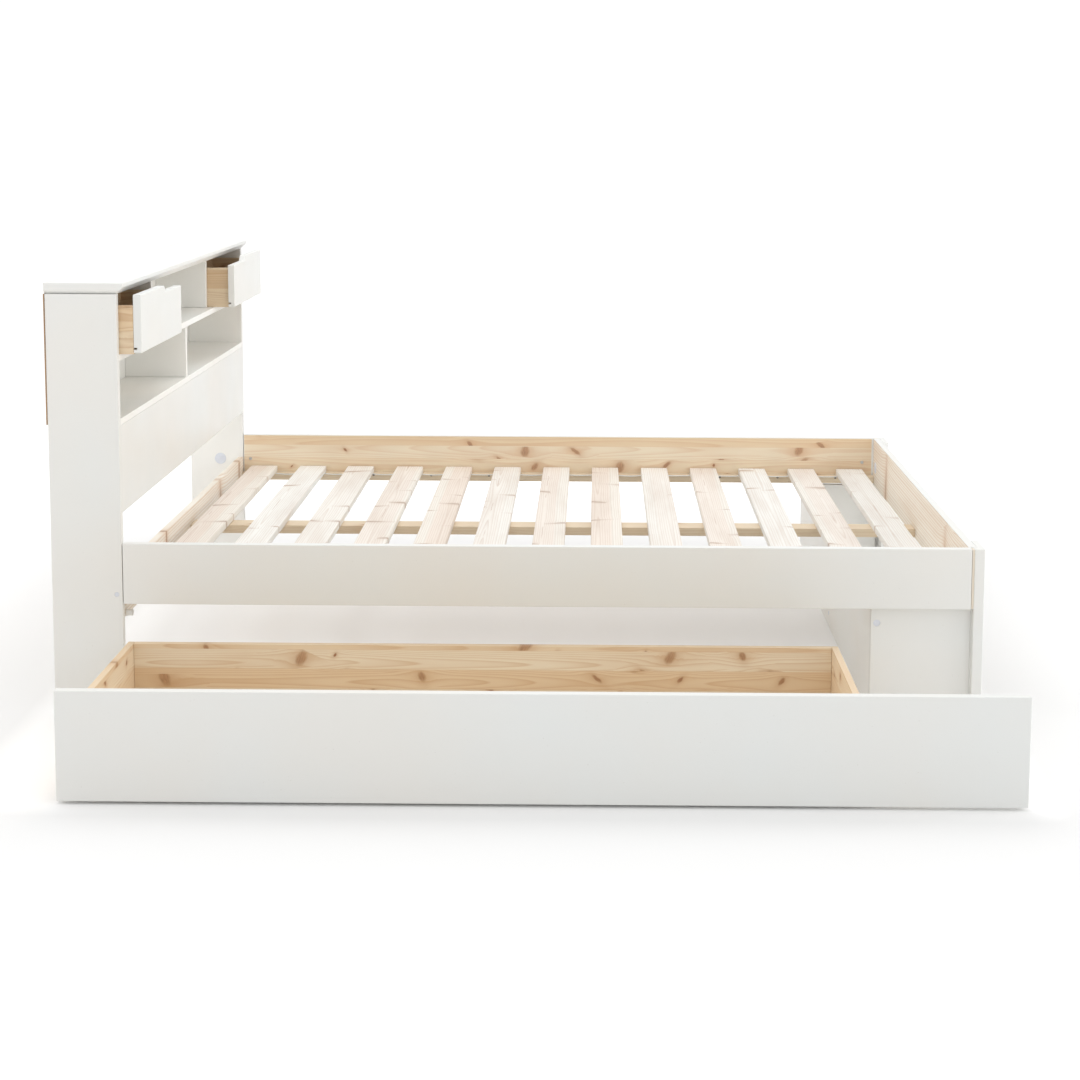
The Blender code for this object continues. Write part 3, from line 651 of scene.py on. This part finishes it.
def saw(piece, along, across, low, phase=0.0):
    """Saw a board out of its own stretch of timber, so that no two boards look alike."""
    start = PLANK_STRIDE * next(BOARD_NUMBERS) + RANDOM.uniform(0, 8)
    shift = (start, phase, RANDOM.uniform(0.0, 0.004))
    set_grain(piece, AXES[along], AXES[across], low, shift)


def carve(piece, cutter_shape):
    """Cut closed shapes out of a piece."""
    cutter = make_object(piece.name + "_cutter", cutter_shape, [])
    change = piece.modifiers.new("cut", "BOOLEAN")
    change.operation = "DIFFERENCE"
    change.solver = "EXACT"
    change.object = cutter
    graph = bpy.context.evaluated_depsgraph_get()
    mesh = bpy.data.meshes.new_from_object(piece.evaluated_get(graph))
    piece.modifiers.clear()
    old = piece.data
    piece.data = mesh
    mesh.shade_smooth()
    mesh.set_sharp_from_angle(angle=math.radians(40))
    bpy.data.meshes.remove(old)
    bpy.data.objects.remove(cutter)


def side_faces(node, side):
    """Outer and inner face along Y of a board at a side of the bed, and the way inward."""
    low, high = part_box(node)
    return (low.y, high.y, 1) if side == "near" else (high.y, low.y, -1)


def board(node, materials, radius, along, across, phase=0.0, rules=(), holes=None,
          nudge=None):
    """A board over the box of its CAD node."""
    low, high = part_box(node)
    shape = bmesh.new()
    add_box(shape, low, high, radius)
    piece = make_object(node + "_board", shape, materials)
    if nudge is not None:
        piece.data.transform(nudge)
    if holes is not None:
        carve(piece, holes)
    paint_faces(piece, rules)
    saw(piece, along, across, low, phase)
    settle(piece, BODY_OF[node], [node])


# ---- fittings

def domed(radius, height):
    """Profile of a cover cap with a rolled rim and a slight dome."""
    rim = min(0.0008, height * 0.6)
    points = [(-0.0002, 0.0), (-0.0002, radius)]
    for step in range(5):
        turn = math.pi / 2 * step / 4
        points.append((height - rim + rim * math.sin(turn) - 0.0002,
                       radius - rim + rim * math.cos(turn)))
    points += [(height + 0.0001, radius * 0.6), (height + 0.0003, radius * 0.25),
               (height + 0.0003, 0.0)]
    return points


def cap(name, centre, direction, radius, height=CAP_HEIGHT):
    """A plastic cover cap pressed over a bolt hole."""
    shape = bmesh.new()
    add_turned(shape, domed(radius, height), centre, direction, 48)
    settle(make_object(name, shape, [CAP_PLASTIC]), "bed")


def cap_flush(name, place, away, radius):
    """A cover cap in a recess of a face that faces along Y, so that what slides past clears it."""
    x, y, z = place
    cap(name, (x, y - away * (CAP_RECESS - 0.0001), z), (0, away, 0), radius,
        CAP_RECESS - 0.0006)


def screw_profile(radius):
    """A countersunk head with a driver recess, sitting just under the face."""
    return [(-0.0030, 0.0), (-0.0030, radius * 0.45), (-0.0006, radius), (-0.0003, radius * 0.98),
            (-0.0003, radius * 0.42), (-0.0016, radius * 0.30), (-0.0018, 0.0)]


def hole_profile(radius, depth):
    """A cutter for a drilled hole, standing a little proud of the face."""
    return [(-depth, 0.0), (-depth, radius), (0.002, radius), (0.002, 0.0)]


def screws(name, places, direction, radius, body, material):
    """A row of identical screw heads as one piece."""
    shape = bmesh.new()
    for place in places:
        add_turned(shape, screw_profile(radius), place, direction, 20)
    settle(make_object(name, shape, [material]), body)


def sinks(places, direction, radius, depth):
    """Cutters for a row of holes."""
    shape = bmesh.new()
    for place in places:
        add_turned(shape, hole_profile(radius, depth), place, direction, 24)
    return shape


def barrel_nut(name, place, direction):
    """A slotted barrel nut, sunk in its hole."""
    radius = NUT_RADIUS - GAP
    shape = bmesh.new()
    add_turned(shape, [(-0.010, 0.0), (-0.010, radius), (-0.0014, radius),
                       (-0.0010, radius - 0.0004), (-0.0010, 0.0)], place, direction, 32)
    piece = make_object(name, shape, [ZINC])
    slot_cut = bmesh.new()
    x, y, z = place
    add_box(slot_cut, (x - radius * 0.8, y - 0.0026, z - 0.0007),
            (x + radius * 0.8, y + 0.0026, z + 0.0007))
    carve(piece, slot_cut)
    settle(piece, "bed")


# ---- headboard

def build_headboard():
    """End panels, top, shelves, dividers, panels, head rail and trundle stop."""
    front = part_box("headboard_end_near")[1].x
    for side in SIDES:
        node = "headboard_end_" + side
        outer, _, inward = side_faces(node, side)
        place = (front - HEAD_CAP_INSET, outer, HEAD_CAP_HEIGHT)
        # the end panel's inner face takes the brighter copy of the paint: painted light
        board(node, [PANEL_PAINT, PAINTED_LIGHT_WHITE], PAINT_ROUND, "z", "x",
              rules=[((0, inward, 0), 1)],
              holes=sinks([place], (0, -inward, 0), SMALL_CAP + GAP, CAP_RECESS))
        cap_flush("cap_head_outer_" + side, place, -inward, SMALL_CAP)
    for node, along, across in (("upper_shelf", "y", "x"), ("lower_shelf", "y", "x"),
                                ("upper_divider_near", "z", "x"), ("upper_divider_far", "z", "x"),
                                ("lower_divider", "z", "x"), ("headboard_front_panel", "y", "z")):
        # shelves and dividers take the brighter copy of the paint: painted light
        paint = PANEL_PAINT if node == "headboard_front_panel" else PAINTED_LIGHT_WHITE
        board(node, [paint], PAINT_ROUND * 0.7, along, across)
    # the back panel's inner face takes the brighter copy of the paint: painted light
    board("headboard_back_panel", [HARDBOARD, PAINTED_LIGHT_WHITE], SHEET_ROUND, "y", "z",
          rules=[((1, 0, 0), 1)])
    board("head_rail", [FOOT_PINE], PINE_ROUND, "y", "z")
    build_top(front)
    build_stop()
    for side in SIDES:
        _, inner, inward = side_faces("headboard_end_" + side, side)
        cap("cap_head_inner_" + side, (front - HEAD_BOLT_INSET, inner, BOLT_HEIGHT),
            (0, inward, 0), LARGE_CAP)
    build_tacks()


def build_tacks():
    """Tacks round the edge of the back panel."""
    low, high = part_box("headboard_back_panel")
    x = low.x + TACK_DEPTH
    width = high.y - low.y - 2 * TACK_CORNER
    tacks = []
    for column in range(TACK_COLUMNS):
        y = low.y + TACK_CORNER + column * width / (TACK_COLUMNS - 1)
        tacks += [(x, y, low.z + TACK_EDGE), (x, y, high.z - TACK_EDGE)]
    for row in range(1, TACK_ROWS):
        z = low.z + row * (high.z - low.z) / TACK_ROWS
        tacks += [(x, low.y + TACK_END, z), (x, high.y - TACK_END, z)]
    screws("back_panel_tacks", tacks, (-1, 0, 0), TACK_RADIUS, "bed", DARK_STEEL)


def build_top(front):
    """The top slab, chamfered underneath along its front edge and both ends."""
    low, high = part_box("headboard_top")
    rings = ((low.z, front, low.y + TOP_END_CHAMFER, high.y - TOP_END_CHAMFER),
             (low.z + TOP_END_CHAMFER, front + TOP_END_CHAMFER, low.y, high.y),
             (low.z + TOP_OVERHANG, high.x, low.y, high.y), (high.z, high.x, low.y, high.y))
    shape = bmesh.new()
    loops = []
    for z, edge, near, far in rings:
        corners = ((low.x, near), (edge, near), (edge, far), (low.x, far))
        loops.append([shape.verts.new((x, y, z)) for x, y in corners])
    shape.faces.new(reversed(loops[0]))
    shape.faces.new(loops[-1])
    for lower, upper in zip(loops, loops[1:]):
        for side in range(4):
            after = (side + 1) % 4
            shape.faces.new((lower[side], lower[after], upper[after], upper[side]))
    shape.normal_update()
    sharp = [e for e in shape.edges if e.calc_face_angle(0.0) > math.radians(10)]
    round_edges(shape, PAINT_ROUND, sharp)
    settle(make_object("headboard_top_slab", shape, [PANEL_PAINT]), "bed",
           ["headboard_top"])


def build_stop():
    """The nylon stop that the shut trundle's front meets, held by a screw."""
    low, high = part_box("trundle_stop")
    radius = (high.y - low.y) / 2
    centre = (low.x, (low.y + high.y) / 2, (low.z + high.z) / 2)
    length = high.x - low.x
    waist = radius - 0.0008
    profile = [(0.0, 0.0022), (0.0, radius), (0.0015, radius), (0.0018, waist),
               (length - 0.0028, waist), (length - 0.0024, radius),
               (length - 0.0006, radius), (length, radius - 0.0006), (length, 0.0042),
               (length - 0.0040, 0.0036), (length - 0.0040, 0.0022)]
    shape = bmesh.new()
    add_turned(shape, profile, centre, (1, 0, 0), 40)
    settle(make_object("trundle_stop_sleeve", shape, [NYLON]), "bed",
           ["trundle_stop"])
    head = bmesh.new()
    place = (high.x - 0.0016, centre[1], centre[2])
    add_turned(head, screw_profile(0.0040), place, (1, 0, 0), 24)
    settle(make_object("trundle_stop_screw", head, [ZINC]), "bed")


# ---- drawers

def build_drawer(side, facing):
    """One drawer. facing is +1 where its finger notch is towards +Y."""
    name = side + "_drawer_"
    low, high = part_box(name + "front")
    outer, inner = (low.y, high.y) if facing > 0 else (high.y, low.y)
    notch = inner - facing * NOTCH_WIDTH
    outline = [(outer, low.z), (inner, low.z), (inner, high.z - NOTCH_DEPTH),
               (notch, high.z - NOTCH_DEPTH), (notch - facing * NOTCH_DEPTH, high.z),
               (outer, high.z)]
    shape = bmesh.new()
    add_prism(shape, outline, lambda u, v, d: (d, u, v), low.x, high.x, PAINT_ROUND)
    front = make_object(name + "front_board", shape, [PANEL_PAINT])
    base_low, base_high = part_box(name + "bottom")
    groove = bmesh.new()
    add_box(groove, (low.x - CUTTER_OVERRUN, low.y - CUTTER_OVERRUN, base_low.z - GAP),
            (low.x + GROOVE_DEPTH, high.y + CUTTER_OVERRUN, base_high.z + GAP))
    carve(front, groove)
    settle(front, side + "_drawer", [name + "front"])

    for part in ("outer_side", "inner_side"):
        board(name + part, [DRAWER_PINE], PINE_ROUND, "x", "z")
    board(name + "back", [DRAWER_PINE], PINE_ROUND, "y", "z")
    board(name + "bottom", [HARDBOARD], SHEET_ROUND, "y", "x")

    # Two screws hold each side to the back board
    back_low, back_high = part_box(name + "back")
    for part in ("outer_side", "inner_side"):
        side_low, side_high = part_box(name + part)
        away = 1 if side_low.y > (low.y + high.y) / 2 else -1
        face = side_high.y if away > 0 else side_low.y
        x = (back_low.x + back_high.x) / 2
        places = [(x, face, side_low.z + share * (side_high.z - side_low.z))
                  for share in DRAWER_SCREW_SHARES]
        screws(name + part + "_screws", places, (0, away, 0), SCREW_RADIUS * 0.8,
               side + "_drawer", ZINC)


# ---- frame

def build_frame():
    """Side rails, footboard and foot posts, with nuts and caps."""
    foot_low, foot_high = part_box("footboard_rail")
    for side in SIDES:
        build_side_rail(side, foot_low.x)
    board("footboard_rail", [PANEL_PAINT, FOOT_PINE], PAINT_ROUND, "y", "z",
          phase=0.010, rules=[((-1, 0, 0), 1), ((0, 1, 0), 1), ((0, -1, 0), 1)])
    for side, y in (("near", foot_low.y + FOOT_CAP_INSET), ("far", foot_high.y - FOOT_CAP_INSET)):
        cap("cap_footboard_" + side, (foot_low.x, y, BOLT_HEIGHT - FOOT_CAP_DROP), (-1, 0, 0),
            LARGE_CAP)
    for side in SIDES:
        build_foot_post(side, foot_high.x + GAP)


def build_side_rail(side, footboard_x):
    """A side rail, white outside and bare pine inside, with a barrel nut near each end."""
    node = "side_rail_" + side
    low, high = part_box(node)
    _, face_y, inward = side_faces(node, side)
    bare_end = footboard_x - PAINTED_END
    places = [(x, face_y, BOLT_HEIGHT) for x in (low.x + NUT_FROM_HEAD, footboard_x - NUT_FROM_FOOT)]
    shape = bmesh.new()
    add_box(shape, low, high, PAINT_ROUND)
    bmesh.ops.bisect_plane(shape, geom=shape.faces[:] + shape.edges[:] + shape.verts[:],
                           plane_co=(bare_end, 0, 0), plane_no=(1, 0, 0))
    piece = make_object(node + "_board", shape, [PANEL_PAINT, RAIL_PINE])
    carve(piece, sinks(places, (0, inward, 0), NUT_RADIUS, NUT_DEPTH))
    paint_faces(piece, [((0, inward, 0), 1)], lambda centre: centre.x < bare_end)
    for face in piece.data.polygons:
        in_hole = min((face.center - Vector(place)).length for place in places) < NUT_REACH
        if in_hole and abs(face.center.y - face_y) >= 0.0005:
            face.material_index = 1
    saw(piece, "x", "z", (low.x, low.y, high.z), 0.150)
    settle(piece, "bed", [node])
    for end, place in zip(("head", "foot"), places):
        barrel_nut("barrel_nut_%s_%s" % (end, side), place, (0, inward, 0))


def build_foot_post(side, web_x):
    """A foot post, and the bare tongue on its lip that closes most of the joint with the rail."""
    low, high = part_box("foot_post_" + side)
    rail_low, rail_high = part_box("side_rail_" + side)
    outer, inner, _ = side_faces("foot_post_" + side, side)
    _, lip, _ = side_faces("side_rail_" + side, side)
    outline = [(low.x, outer), (high.x, outer), (high.x, inner), (web_x, inner), (web_x, lip),
               (low.x, lip)]
    shape = bmesh.new()
    add_prism(shape, outline, lambda u, v, d: (u, v, d), low.z, high.z, PAINT_ROUND)
    settle(make_object("foot_post_%s_angle" % side, shape, [PANEL_PAINT]), "bed",
           ["foot_post_" + side])

    faces = sorted(outer + (lip - outer) * share for share in TONGUE_SPAN)
    tongue = bmesh.new()
    add_box(tongue, (rail_high.x + TONGUE_GAP, faces[0], rail_low.z + 0.001),
            (low.x + 0.001, faces[1], high.z - 0.0015), 0.0004)
    strip = make_object("foot_post_%s_tongue" % side, tongue, [TONGUE_PINE])
    saw(strip, "z", "x", (low.x, outer, low.z))
    settle(strip, "bed")


def build_slats():
    """Slats, their ledgers, the middle beam and the webbing that spaces the slats."""
    for side in SIDES:
        node = "slat_ledger_" + side
        low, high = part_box(node)
        _, y, inward = side_faces(node, side)
        z = high.z - LEDGER_SCREW_DROP
        first = low.x + LEDGER_SCREW_START
        count = int((high.x - first - LEDGER_SCREW_END) / LEDGER_SCREW_PITCH) + 1
        places = [(first + number * LEDGER_SCREW_PITCH, y, z) for number in range(count)]
        board(node, [BEAM_PINE], PINE_ROUND, "x", "y", phase=0.1,
              holes=sinks(places, (0, inward, 0), SCREW_RADIUS, 0.006))
        deep = [(px, py - inward * LEDGER_SCREW_SINK, pz) for px, py, pz in places]
        screws("ledger_screws_" + side, deep, (0, inward, 0), SCREW_HEAD, "bed", DARK_STEEL)
    board("mid_beam", [BEAM_PINE], PINE_ROUND, "x", "y", phase=0.07)

    names = sorted(node for node in BODY_OF if node.startswith("slat_") and node[-1].isdigit())
    for node in names:
        low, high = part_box(node)
        middle = (low + high) / 2
        turn = Matrix.Rotation(RANDOM.uniform(-SLAT_TURN, SLAT_TURN), 4, "Z")
        move = Matrix.Translation((RANDOM.uniform(-SLAT_SHIFT, SLAT_SHIFT), 0, 0))
        nudge = Matrix.Translation(middle) @ move @ turn @ Matrix.Translation(-middle)
        phase = 0.15 - (high.x - low.x) / 2
        board(node, [SLAT_PINE], SLAT_ROUND, "y", "x", phase=phase, nudge=nudge)
    for side in SIDES:
        build_tape(side, names)


def build_tape(side, names):
    """Webbing under the slats' ends, sagging a little in each gap."""
    boxes = [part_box(node) for node in names]
    _, edge, inward = side_faces("slat_ledger_" + side, side)
    centre = edge + inward * TAPE_INSET
    line = []
    for number, (low, high) in enumerate(boxes):
        z = low.z - TAPE_DROP
        line += [(low.x + TAPE_HOLD, z), ((low.x + high.x) / 2, z), (high.x - TAPE_HOLD, z)]
        if number + 1 == len(boxes):
            break
        gap = boxes[number + 1][0].x - high.x
        sag = RANDOM.uniform(*TAPE_SAG)
        for share in (0.2, 0.4, 0.6, 0.8):
            line.append((high.x + share * gap, z - sag * math.sin(math.pi * share) ** 0.8))
    shape = bmesh.new()
    rows = []
    for along, z in line:
        rows.append([shape.verts.new((along, centre + across * TAPE_WIDTH / 2, z))
                     for across in (-1, -0.5, 0, 0.5, 1)])
    for row, after in zip(rows, rows[1:]):
        for place in range(4):
            shape.faces.new((row[place], after[place], after[place + 1], row[place + 1]))
    piece = make_object("slat_tape_" + side, shape, [WEBBING])
    set_grain(piece, AXES["x"], AXES["y"], (0, 0, 0))
    thick = piece.modifiers.new("thickness", "SOLIDIFY")
    thick.thickness = TAPE_THICKNESS
    thick.offset = 0
    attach(piece, "bed")


def build_foot_panels():
    """Filler panels and guide panel under the foot end."""
    # the guide panel takes the brighter copy of the paint: painted light
    board("guide_panel", [PAINTED_LIGHT_WHITE], PAINT_ROUND, "z", "x")
    for side in SIDES:
        node = "filler_panel_" + side
        outer, _, inward = side_faces(node, side)
        place = (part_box(node)[0].x + FILLER_CAP_INSET, outer, FILLER_CAP_HEIGHT)
        board(node, [PANEL_PAINT], PAINT_ROUND, "z", "x",
              holes=sinks([place], (0, -inward, 0), FILLER_CAP + GAP, CAP_RECESS))
        cap_flush("cap_filler_" + side, place, -inward, FILLER_CAP)
    guide_low, guide_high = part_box("guide_panel")
    y = (guide_low.y + guide_high.y) / 2 + GUIDE_CAP_SHIFT
    cap("cap_guide", (guide_low.x, y, GUIDE_CAP_HEIGHT), (-1, 0, 0), SMALL_CAP,
        LOW_CAP_HEIGHT)


# ---- trundle

def build_trundle():
    """Trundle front, box, base and casters."""
    board("trundle_front", [PANEL_PAINT], PAINT_ROUND * 1.3, "x", "z")
    back_low, back_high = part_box("trundle_back")
    for end, away in (("head", -1), ("foot", 1)):
        low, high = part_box("trundle_end_" + end)
        face = high.x if away > 0 else low.x
        places = [(face, y, low.z + share * (high.z - low.z))
                  for y in (low.y + TRUNDLE_SCREW_INSET, (back_low.y + back_high.y) / 2)
                  for share in SCREW_SHARES]
        board("trundle_end_" + end, [BOX_PINE], PINE_ROUND, "y", "z",
              phase=RANDOM.uniform(0, 0.02),
              holes=sinks(places, (away, 0, 0), SCREW_RADIUS, 0.004))
        screws("trundle_screws_" + end, places, (away, 0, 0), SCREW_HEAD, "trundle", DARK_STEEL)
    board("trundle_back", [BOX_PINE], PINE_ROUND, "x", "z", phase=0.012)
    board("trundle_base", [PLYWOOD], SHEET_ROUND, "x", "y")
    for row in ("front", "back"):
        for end in ("head", "foot"):
            build_caster(row + "_" + end)


def build_caster(name):
    """A fixed caster: a bracket on the trundle, and the wheel that turns in it."""
    low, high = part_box("caster_wheel_" + name)
    centre = (low + high) / 2
    half = (high.x - low.x) / 2
    build_bracket(name, centre, half + EAR_PLAY)
    build_wheel(name, centre, (high.z - low.z) / 2, half)


def build_bracket(name, centre, ear):
    """A pressed steel bracket with its riveted axle. ear is from the middle to its ears."""
    low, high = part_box("caster_bracket_" + name)
    steel = bmesh.new()
    add_box(steel, (low.x, low.y, high.z - PLATE), (high.x, high.y, high.z), 0.0005)
    top = high.z - PLATE + 0.0002
    depth = (high.y - low.y) / 2
    outline = [(centre.y - depth, top), (centre.y + depth, top)]
    for step in range(9):
        turn = math.pi * step / 8
        outline.append((centre.y + EAR_ROUND * math.cos(turn),
                        centre.z + 0.001 - EAR_DROP * math.sin(turn)))
    for side in (-1, 1):
        start, end = sorted((centre.x + side * ear, centre.x + side * (ear + PLATE)))
        add_prism(steel, outline, lambda u, v, d: (d, u, v), start, end, 0.0004)
    reach = ear + PLATE
    rivet = [(-reach - 0.0008, 0.0), (-reach - 0.0008, 0.0030), (-reach, 0.0042), (-reach, 0.0036)]
    add_turned(steel, mirrored(rivet), centre, (1, 0, 0), 24)
    for dx in (-1, 1):
        for dy in (-1, 1):
            place = (centre.x + dx * (depth - 0.0015), centre.y + dy * (depth - 0.006),
                     high.z - PLATE)
            add_turned(steel, [(0.0, 0.0), (0.0, 0.0035), (0.0006, 0.0033), (0.0013, 0.0022),
                               (0.0009, 0.0012), (0.0004, 0.0)], place, (0, 0, -1), 16)
    settle(make_object("caster_bracket_%s_steel" % name, steel, [ZINC]), "trundle",
           ["caster_bracket_" + name])


def build_wheel(name, centre, radius, half):
    """A spoked wheel with a grey tread. half is half its width."""
    profile = [(-half, 0.0046), (-half, 0.0085), (-half + 0.0030, 0.0092),
               (-half + 0.0030, radius - 0.0042), (-half, radius - 0.0032),
               (-half, radius - 0.0018), (-half + 0.0008, radius - 0.0006),
               (-half + 0.0022, radius)]
    nylon = bmesh.new()
    add_turned(nylon, mirrored(profile), centre, (1, 0, 0), 56)
    for number in range(WHEEL_SPOKES):
        turn = Matrix.Rotation(number * 2 * math.pi / WHEEL_SPOKES, 4, "X")
        spoke = bmesh.new()
        add_box(spoke, (-half + 0.0006, -0.0008, 0.0086), (half - 0.0006, 0.0008, radius - 0.0036))
        bmesh.ops.transform(spoke, matrix=Matrix.Translation(centre) @ turn, verts=spoke.verts)
        join(nylon, spoke)
    wheel = make_object("caster_wheel_%s_moulded" % name, nylon, [NYLON, RUBBER])
    for face in wheel.data.polygons:
        flat_distance = math.hypot(face.center.y - centre.y, face.center.z - centre.z)
        if flat_distance > radius - 0.0012:
            face.material_index = 1
    wheel.data.set_sharp_from_angle(angle=math.radians(35))
    settle(wheel, BODY_OF["caster_wheel_" + name], ["caster_wheel_" + name])


# ---- studio

def build_camera():
    """The camera, given by where it stands and its three angles."""
    forward = Vector((math.sin(CAMERA_YAW) * math.cos(CAMERA_PITCH),
                      math.cos(CAMERA_YAW) * math.cos(CAMERA_PITCH), math.sin(CAMERA_PITCH)))
    level = Vector((math.cos(CAMERA_YAW), -math.sin(CAMERA_YAW), 0))
    above = level.cross(forward)
    right = level * math.cos(CAMERA_ROLL) + above * math.sin(CAMERA_ROLL)
    up = above * math.cos(CAMERA_ROLL) - level * math.sin(CAMERA_ROLL)
    data = bpy.data.cameras.new("camera")
    data.lens = CAMERA_LENS
    data.sensor_width = 36.0
    data.shift_x, data.shift_y = CAMERA_SHIFT
    camera = bpy.data.objects.new("camera", data)
    axes = Matrix((right, up, -forward)).transposed().to_4x4()
    camera.matrix_world = Matrix.Translation(CAMERA_PLACE) @ axes
    bpy.context.scene.collection.objects.link(camera)
    bpy.context.scene.camera = camera


def area_light(name, place, target, size, power, tint):
    """A soft rectangular light aimed at a point."""
    data = bpy.data.lights.new(name, "AREA")
    data.shape = "RECTANGLE"
    data.size, data.size_y = size
    data.energy = power
    data.color = tint
    light = bpy.data.objects.new(name, data)
    light.location = place
    aim = Vector(target) - Vector(place)
    light.rotation_mode = "QUATERNION"
    light.rotation_quaternion = aim.to_track_quat("-Z", "Y")
    bpy.context.scene.collection.objects.link(light)


def build_studio():
    """White floor, white surroundings and soft lights from above and both sides."""
    shape = bmesh.new()
    bmesh.ops.create_grid(shape, x_segments=8, y_segments=8, size=FLOOR_REACH)
    floor = make_object("floor", shape, [floor_look()])

    world = bpy.data.worlds.new("white_studio")
    world.use_nodes = True
    background = world.node_tree.nodes["Background"]
    background.inputs["Color"].default_value = (1.0, 1.0, 1.0, 1.0)
    nodes, links = world.node_tree.nodes, world.node_tree.links
    direction = nodes.new("ShaderNodeTexCoord").outputs["Generated"]
    parts = nodes.new("ShaderNodeSeparateXYZ")
    links.new(direction, parts.inputs[0])
    ramp = nodes.new("ShaderNodeMapRange")
    for name, value in (("From Min", WORLD_TURN[0]), ("From Max", WORLD_TURN[1]),
                        ("To Min", WORLD_FRONT), ("To Max", WORLD_BEHIND)):
        ramp.inputs[name].default_value = value
    links.new(parts.outputs["Y"], ramp.inputs["Value"])
    links.new(ramp.outputs[0], background.inputs["Strength"])
    bpy.context.scene.world = world

    for lamp in LAMPS:
        area_light(*lamp)
    bpy.context.scene.view_settings.view_transform = "Standard"


build_camera()
build_headboard()
build_drawer("near", 1)
build_drawer("far", -1)
build_frame()
build_slats()
build_foot_panels()
build_trundle()
build_studio()
